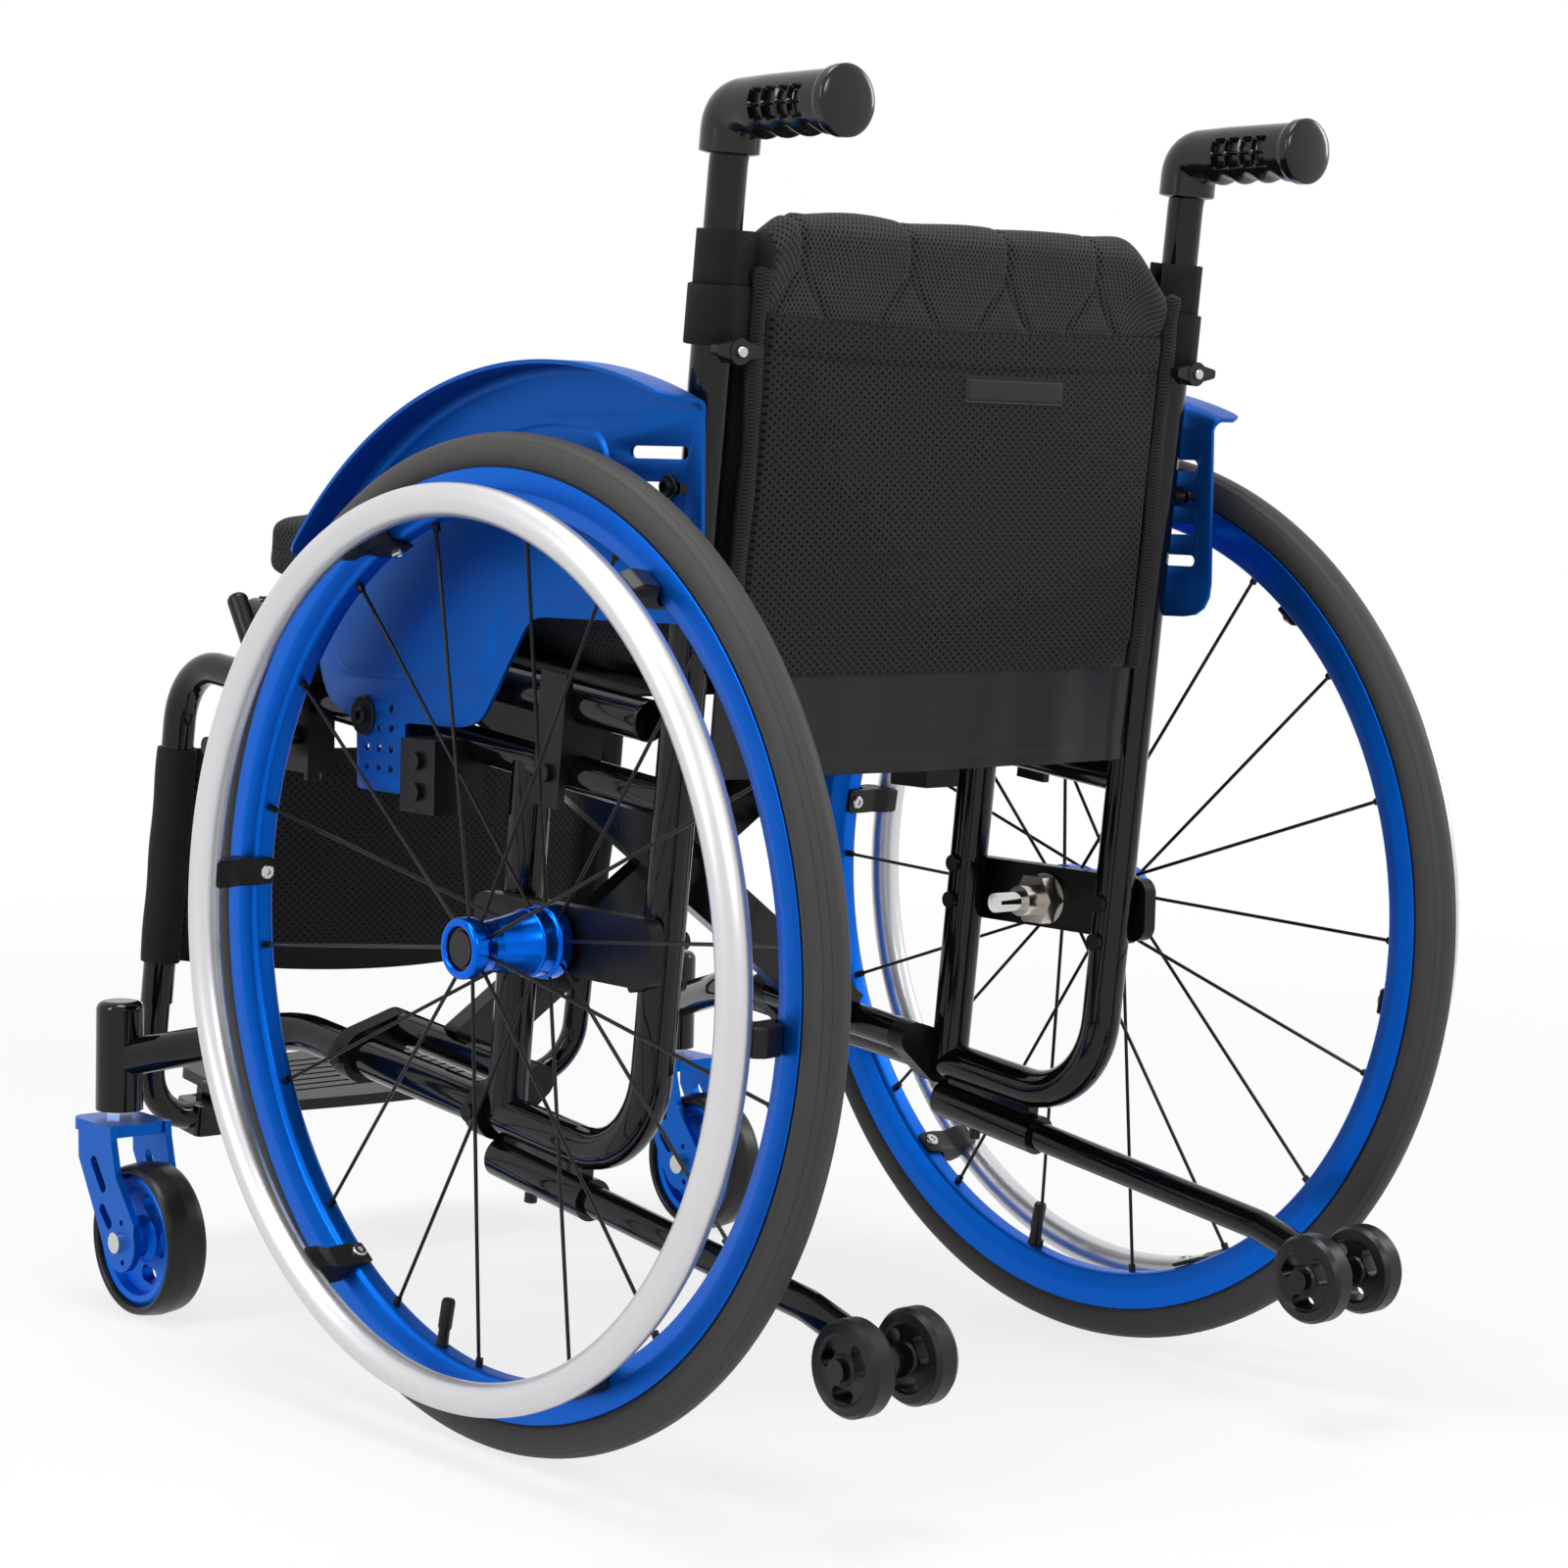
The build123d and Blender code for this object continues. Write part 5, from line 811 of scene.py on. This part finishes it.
def pocket_face(x, h):
    """How far back the pocket stands: a flat panel that swells between its edges, with a seam under its
    hem and soft uneven sag."""
    edge_x = POCKET_HALF - np.abs(x)
    mouth = MOUTH_H - 0.004 * (1 - (x / POCKET_HALF) ** 2)
    edge_h = np.minimum(h - POCKET_LOW, mouth - h)
    nearest = np.clip(np.minimum(edge_x, edge_h), 0, 0.003)
    lip = 0.0032 * np.sqrt(np.clip(1 - (1 - nearest / 0.003) ** 2, 0, 1))
    rise = np.clip((h - POCKET_LOW) / (mouth - POCKET_LOW), 0, 1)
    swell = 0.0052 * (1 - (x / POCKET_HALF) ** 4) * np.sin(np.pi * rise ** 1.25) ** 0.6
    sag = 0.0012 * np.sin(x / 0.045 + 0.6) * np.sin(h / 0.032 + x / 0.11) * np.sin(np.pi * rise)
    hem = 0.0014 * seam(np.abs(mouth - 0.0225 - h), 0.0016)
    hem = hem - 0.0006 * step_up(h, mouth - 0.022, mouth - 0.019)
    return POCKET_FACE + lip + swell + sag * nearest / 0.003 - hem * nearest / 0.003


share_across = np.linspace(-1, 1, 156)[:, None]
share_up = np.linspace(0, 1, 112)[None, :]
mouth = MOUTH_H - 0.004 * (1 - share_across ** 2)
h = POCKET_LOW + share_up * (mouth - POCKET_LOW)
corner = np.clip(POCKET_CORNER - (h - POCKET_LOW), 0, POCKET_CORNER)
x = share_across * (POCKET_HALF - POCKET_CORNER + np.sqrt(POCKET_CORNER ** 2 - corner ** 2))
s = pocket_face(x / (np.abs(x).max(axis=0) / POCKET_HALF)[None, :], h)
s[[0, -1]] = POCKET_FACE
s[:, [0, -1]] = POCKET_FACE
inside = np.full(s.shape, POCKET_FACE)
inside[1:-1, 1:-1] = POCKET_FACE - 0.001
outer = skin(at(x, s, h), cloth=(x, h))
back_pocket = piece("back_pocket", outer, skin(at(x, inside, h), cloth=(x, h)), crease=70)
fitted(back_pocket, pocket_mesh, "mesh_fabric", "frame_left")
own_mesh(back_pocket)

PATCH = (-0.0745, 0.0085, 0.3300, 0.3470)
left, right, low_h, high_h = PATCH
x, h = np.meshgrid(np.linspace(left, right, 70), np.linspace(low_h, high_h, 26), indexing="ij")
to_edge = np.minimum(np.minimum(x - left, right - x), np.minimum(h - low_h, high_h - h))
lift = 0.0016 * np.sqrt(np.clip(1 - (1 - np.clip(to_edge, 0, 0.0008) / 0.0008) ** 2, 0, 1))
lift -= 0.0007 * seam(np.abs(to_edge - 0.0022), 0.0005)
under = pocket_face(x, h) - 0.0006
patch = piece("pocket_patch", skin(at(x, under + lift, h)), skin(at(x, under, h)), crease=50)
fitted(patch, patch_rubber, "black_plastic", "frame_left")
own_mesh(patch)


def band(path, thick, low, high, way, flare=0.0):
    """Webbing on edge: a line in plan, (x, s), thickened to both sides and raised from low to high, with
    its edges eased. Its cloth coordinates run along the line and up it."""
    ahead = np.gradient(path, axis=0)
    ahead /= np.linalg.norm(ahead, axis=1, keepdims=True)
    side = np.stack((-ahead[:, 1], ahead[:, 0]), axis=-1) * thick / 2
    run = np.concatenate(([0], np.linalg.norm(np.diff(path, axis=0), axis=1).cumsum()))
    ring = np.vstack((path + side, (path - side)[::-1]))
    slim = np.vstack((path + side * 0.45, (path - side * 0.45)[::-1]))
    runs = np.concatenate((run, run[::-1]))
    levels = (low, low + 0.0006, low + 0.3 * (high - low), low + 0.7 * (high - low), high - 0.0006, high)
    rows = [at(way * line[:, 0], line[:, 1], level + flare * np.sin(runs / 0.011))
            for level, line in zip(levels, (slim, ring, ring, ring, ring, slim))]
    marks = np.broadcast_arrays(runs[None, :], np.array(levels)[:, None])
    return skin(np.array(rows), columns_meet=True, shut=True, cloth=marks)


for side, way in SIDES:
    turn = np.linspace(np.pi / 2, -np.pi / 2, 22)
    bow = np.stack((CANE_X + 0.0138 * np.cos(turn), CANE_S + 0.0138 * np.sin(turn)), axis=-1)
    wide = np.stack((CANE_X + 0.0165 * np.cos(turn), CANE_S + 0.0158 * np.sin(turn)), axis=-1)
    upper = np.vstack(([(0.1640, 0.0780), (0.1700, 0.0810)], bow, [(0.1735, 0.0590), (0.168, 0.0650)]))
    lower = np.vstack(([(0.1640, 0.0780), (0.1700, 0.0825)], wide, [(0.1735, 0.0570), (0.168, 0.0645)]))
    straps = piece("back_straps_" + side, band(upper, 0.0018, 0.3872, 0.4200, way, 0.0004),
                   band(lower, 0.0018, 0.3560, 0.3895, way, 0.0005), crease=50)
    fitted(straps, webbing, "mesh_fabric", "frame_" + side)

BINDING_LOW, BINDING_HIGH = 0.1675, 0.4020
binding_tape = knitted("binding_tape", (0.026, 0.026, 0.027), (0.006, 0.006, 0.006), 0.0120, 0.0022, 0.0004,
                       (-0.5, 0.8))
for side, way in SIDES:
    h = np.linspace(BINDING_LOW, BINDING_HIGH, 120)
    path = at(way * (0.1668 - 0.0008 * np.sin(h / 0.021)), 0.0862 + 0.0006 * np.sin(h / 0.033), h)
    angle = np.linspace(0, 2 * np.pi, 24, endpoint=False)[None, :]
    swelling = 1 + 0.06 * np.sin(h / 0.0105 + way) + 0.25 * step_up(h, 0.385, 0.396)
    to_end = np.minimum(h - BINDING_LOW, BINDING_HIGH - h)
    closing = np.sqrt(np.clip(1 - np.clip(1 - to_end / 0.004, 0, 1) ** 2, 0.02, 1))
    wide = (0.0058 * swelling * closing)[:, None]
    deep = (0.0034 * swelling * closing)[:, None]
    across = np.stack((wide * np.cos(angle), deep * np.sin(angle)), axis=-1)
    marks = np.broadcast_arrays(wide * angle, h[:, None])
    roll = skin(carried(path, across, (1, 0, 0)), columns_meet=True, shut=True, cloth=marks)
    binding = piece("back_binding_" + side, roll, crease=70)
    fitted(binding, binding_tape, "mesh_fabric", "frame_left")
    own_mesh(binding)

# Back flap
# A plain apron of soft black vinyl hangs under the padded back, with a stitched edge tape on each side
# and a turned hem along its lower edge.
FLAP_HALF = 0.17
FLAP_LOW, FLAP_HIGH = 0.1083, 0.1690


def thickened(thing, thickness):
    """Gives a sheet its thickness, half of it to each side."""
    wall = thing.modifiers.new("wall", "SOLIDIFY")
    wall.thickness = thickness
    wall.offset = 0.0


vinyl = coating("flap_vinyl", (0.0075, 0.0075, 0.0078), 0.4, grain=1400.0, bump=0.0001, spread=0.35,
                shine=0.3)
x, h = np.meshgrid(np.linspace(-FLAP_HALF, FLAP_HALF, 140),
                   np.linspace(FLAP_LOW, FLAP_HIGH, 34), indexing="ij")
drop = (0.1664 - h) / 0.058
s = 0.0782 + 0.0045 * (1 - (x / FLAP_HALF) ** 2) + 0.0011 * drop * np.sin(x / 0.021 + 0.8)
s += 0.0007 * np.sin(x / 0.0093)
s += 0.0009 * step_up(-h, -0.1180, -0.1165) + 0.0009 * step_up(np.abs(x), 0.1570, 0.1580)
flap = piece("back_flap_sheet", skin(at(x, s, h), cloth=(x, h)), crease=70)
thickened(flap, 0.0012)
fitted(flap, vinyl, "sheet_fabric", "frame_left", "back_flap")
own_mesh(flap)

# Seat
# A foam cushion in the same spacer mesh, with a piped seam round its middle, lies on a taut nylon sling
# that is pulled over the two seat rails. The foam is blown up by cloth simulation, and flat below.
CUSHION_LOW = 0.1523
CUSHION_FRONT, CUSHION_REAR = -0.405, 0.054
CUSHION_HALF = 0.176
CUSHION_CORNER = 0.022
CUSHION_MIDDLE = 0.1825
CUSHION_THICK = 0.055
PUFF_CAP = 0.006
SLING_HALF = 0.1895
SLING_FRONT, SLING_LENGTH = -0.369, 0.404
sling_cloth = knitted("sling_nylon", (0.014, 0.014, 0.015), (0.006, 0.006, 0.006), 0.0016, 0.0016, 0.0002,
                      (-0.3, 0.9))


def blown_up(thing, cap, frames=20):
    """Fills a closed cover: Blender's cloth with air pressure inside and no gravity, run for some frames.
    No corner ends further than the cap from where it began."""
    filling = thing.modifiers.new("filling", "CLOTH")
    filling.settings.use_pressure = True
    filling.settings.uniform_pressure_force = 4.0
    filling.settings.effector_weights.gravity = 0.0
    filling.point_cache.frame_end = frames
    for moment in range(1, frames + 1):
        studio.frame_set(moment)
    full = thing.evaluated_get(bpy.context.evaluated_depsgraph_get()).data
    start = np.zeros(len(thing.data.vertices) * 3)
    thing.data.vertices.foreach_get("co", start)
    finish = start.copy()
    full.vertices.foreach_get("co", finish)
    start = start.reshape(-1, 3)
    move = finish.reshape(-1, 3) - start
    length = np.linalg.norm(move, axis=1, keepdims=True)
    move *= np.minimum(1, cap / np.maximum(length, 1e-9))
    thing.modifiers.remove(filling)
    thing.data.vertices.foreach_set("co", (start + move).ravel())
    thing.data.update()
    studio.frame_set(1)


def above(thing, level):
    """Presses the underside of a piece flat at a height of the tilted frame."""
    spots = np.zeros(len(thing.data.vertices) * 3)
    thing.data.vertices.foreach_get("co", spots)
    spots = spots.reshape(-1, 3)
    up = np.array((0, math.sin(TILT), math.cos(TILT)))
    height = (spots - (0, AXLE_Y, AXLE_Z)) @ up
    spots += np.maximum(level - height, 0)[:, None] * up
    thing.data.vertices.foreach_set("co", spots.ravel())
    thing.data.update()


lengthwise = np.linspace(CUSHION_FRONT, CUSHION_REAR, 68)
edge = np.minimum(lengthwise - CUSHION_FRONT, CUSHION_REAR - lengthwise)
round_off = np.clip(CUSHION_CORNER - edge, 0, CUSHION_CORNER)
plan = CUSHION_HALF - CUSHION_CORNER + np.sqrt(CUSHION_CORNER ** 2 - round_off ** 2)
height = CUSHION_THICK / 2 * np.sqrt(1 - np.clip(1 - (edge + 0.0016) / 0.021, 0, 1) ** 2)
turn = np.linspace(0, 2 * np.pi, 120, endpoint=False)[None, :]
square = (np.abs(np.cos(turn)) ** 6 + np.abs(np.sin(turn)) ** 6) ** (-1 / 6)
x = plan[:, None] * np.cos(turn) * square
h = CUSHION_MIDDLE + height[:, None] * np.sin(turn) * square
s = np.broadcast_to(lengthwise[:, None], x.shape)
strides = np.hypot(np.diff(x, axis=1), np.diff(h, axis=1))
girth = np.concatenate((np.zeros((len(x), 1)), strides.cumsum(axis=1)), axis=1)
reach = np.concatenate(([0], np.hypot(np.diff(lengthwise), np.diff(height)).cumsum()))
cushion = piece("cushion", skin(at(x, s, h), columns_meet=True, shut=True,
                                cloth=np.broadcast_arrays(girth, reach[:, None])), crease=80)
blown_up(cushion, PUFF_CAP)
above(cushion, CUSHION_LOW)
finer = cushion.modifiers.new("finer", "SUBSURF")
finer.levels = finer.render_levels = 1
fitted(cushion, pocket_mesh, "mesh_fabric", "seat", "seat_cushion")
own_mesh(cushion)

x, s = np.meshgrid(np.linspace(-SLING_HALF, SLING_HALF, 96),
                   np.linspace(SLING_FRONT, SLING_FRONT + SLING_LENGTH, 90), indexing="ij")
along = np.clip((s - SLING_FRONT) / SLING_LENGTH, 0, 1)
h = 0.1508 - 0.0045 * (1 - (x / SLING_HALF) ** 2) * np.clip(np.sin(np.pi * along), 0, 1) ** 0.3
sling = piece("sling", skin(at(x, s, h), cloth=(x, s)), crease=80)
thickened(sling, 0.0014)
fitted(sling, sling_cloth, "sheet_fabric", "seat", "seat_sling")
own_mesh(sling)

# Calf panel
# A band of spacer mesh with taped edges is slung between the leg tubes, behind the rider's calves. At
# each end a sleeve of heavy black tape is wrapped round the tube.
LEG_SLOPE = 9.5 / 241
CALF_LOW, CALF_HIGH = -0.1165, 0.0335
CALF_HALF = 0.1738
SLEEVE_R = 0.0136
LEG_INNER_R = 0.0113
sleeve_cloth = knitted("sleeve_tape", (0.015, 0.015, 0.016), (0.007, 0.007, 0.007), 0.0034, 0.0022, 0.0002,
                       (-0.4, 0.9))
calf_mesh = knitted("calf_mesh", (0.020, 0.020, 0.022), (0.001, 0.001, 0.001), 0.0066, 0.0058, 0.0012)


def leg_s(h):
    """Where the axis of a leg tube is at a height: it leans forward as it goes down."""
    return -0.461 - (0.095 - h) * LEG_SLOPE


x, h = np.meshgrid(np.linspace(-CALF_HALF, CALF_HALF, 150),
                   np.linspace(CALF_LOW, CALF_HIGH, 66), indexing="ij")
bow = 1 - (x / CALF_HALF) ** 2
level = (h - CALF_LOW) / (CALF_HIGH - CALF_LOW)
h = h - 0.012 * bow * (1 - level)
s = leg_s(h) + 0.0020 + 0.0245 * bow - 0.0035 * bow * np.sin(np.pi * level)
s += 0.0008 * np.sin(x / 0.012) * (1 - bow)
s += 0.0010 * (step_up(level, 0.92, 0.93) + step_up(-level, -0.085, -0.075))
calf = piece("calf_sheet", skin(at(x, s, h), cloth=(x, h)), crease=70)
thickened(calf, 0.0018)
fitted(calf, calf_mesh, "mesh_fabric", "frame_left", "calf_panel")
calf.data.materials.append(sleeve_cloth)
steps_up = np.arange(65)[None, :] / 65
taped = np.broadcast_to((steps_up > 0.915) | (steps_up < 0.08), (149, 65))
calf.data.polygons.foreach_set("material_index", taped.ravel().astype(np.int32))
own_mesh(calf)
for side, way in SIDES:
    turn = np.linspace(0, 2 * np.pi, 56, endpoint=False)[None, :]
    h = np.concatenate(([CALF_LOW], np.linspace(CALF_LOW, CALF_HIGH, 40), [CALF_HIGH]))[:, None]
    radius = SLEEVE_R + 0.0003 * np.sin(h / 0.009 + turn) + 0.0012 * np.exp(-((turn - 2.0) / 0.09) ** 2)
    radius = np.where((h <= CALF_LOW) | (h >= CALF_HIGH), radius - 0.0001, radius)
    radius[[0, -1]] = 0.0114
    x = way * (CANE_X + radius * np.cos(turn))
    s = leg_s(h) + radius * np.sin(turn)
    inner = np.full((2, turn.shape[1]), LEG_INNER_R)
    ends = h[[-1, 0]]
    inside = at(way * (CANE_X + inner * np.cos(turn)), leg_s(ends) + inner * np.sin(turn), ends)
    points = np.vstack((at(x, s, h), inside))
    marks = np.broadcast_arrays(turn * SLEEVE_R, np.vstack((h, ends)))
    tube = skin(points, rows_meet=True, columns_meet=True, cloth=marks)
    sleeve = piece("calf_sleeve_" + side, tube, crease=50)
    fitted(sleeve, sleeve_cloth, "mesh_fabric", "frame_" + side)
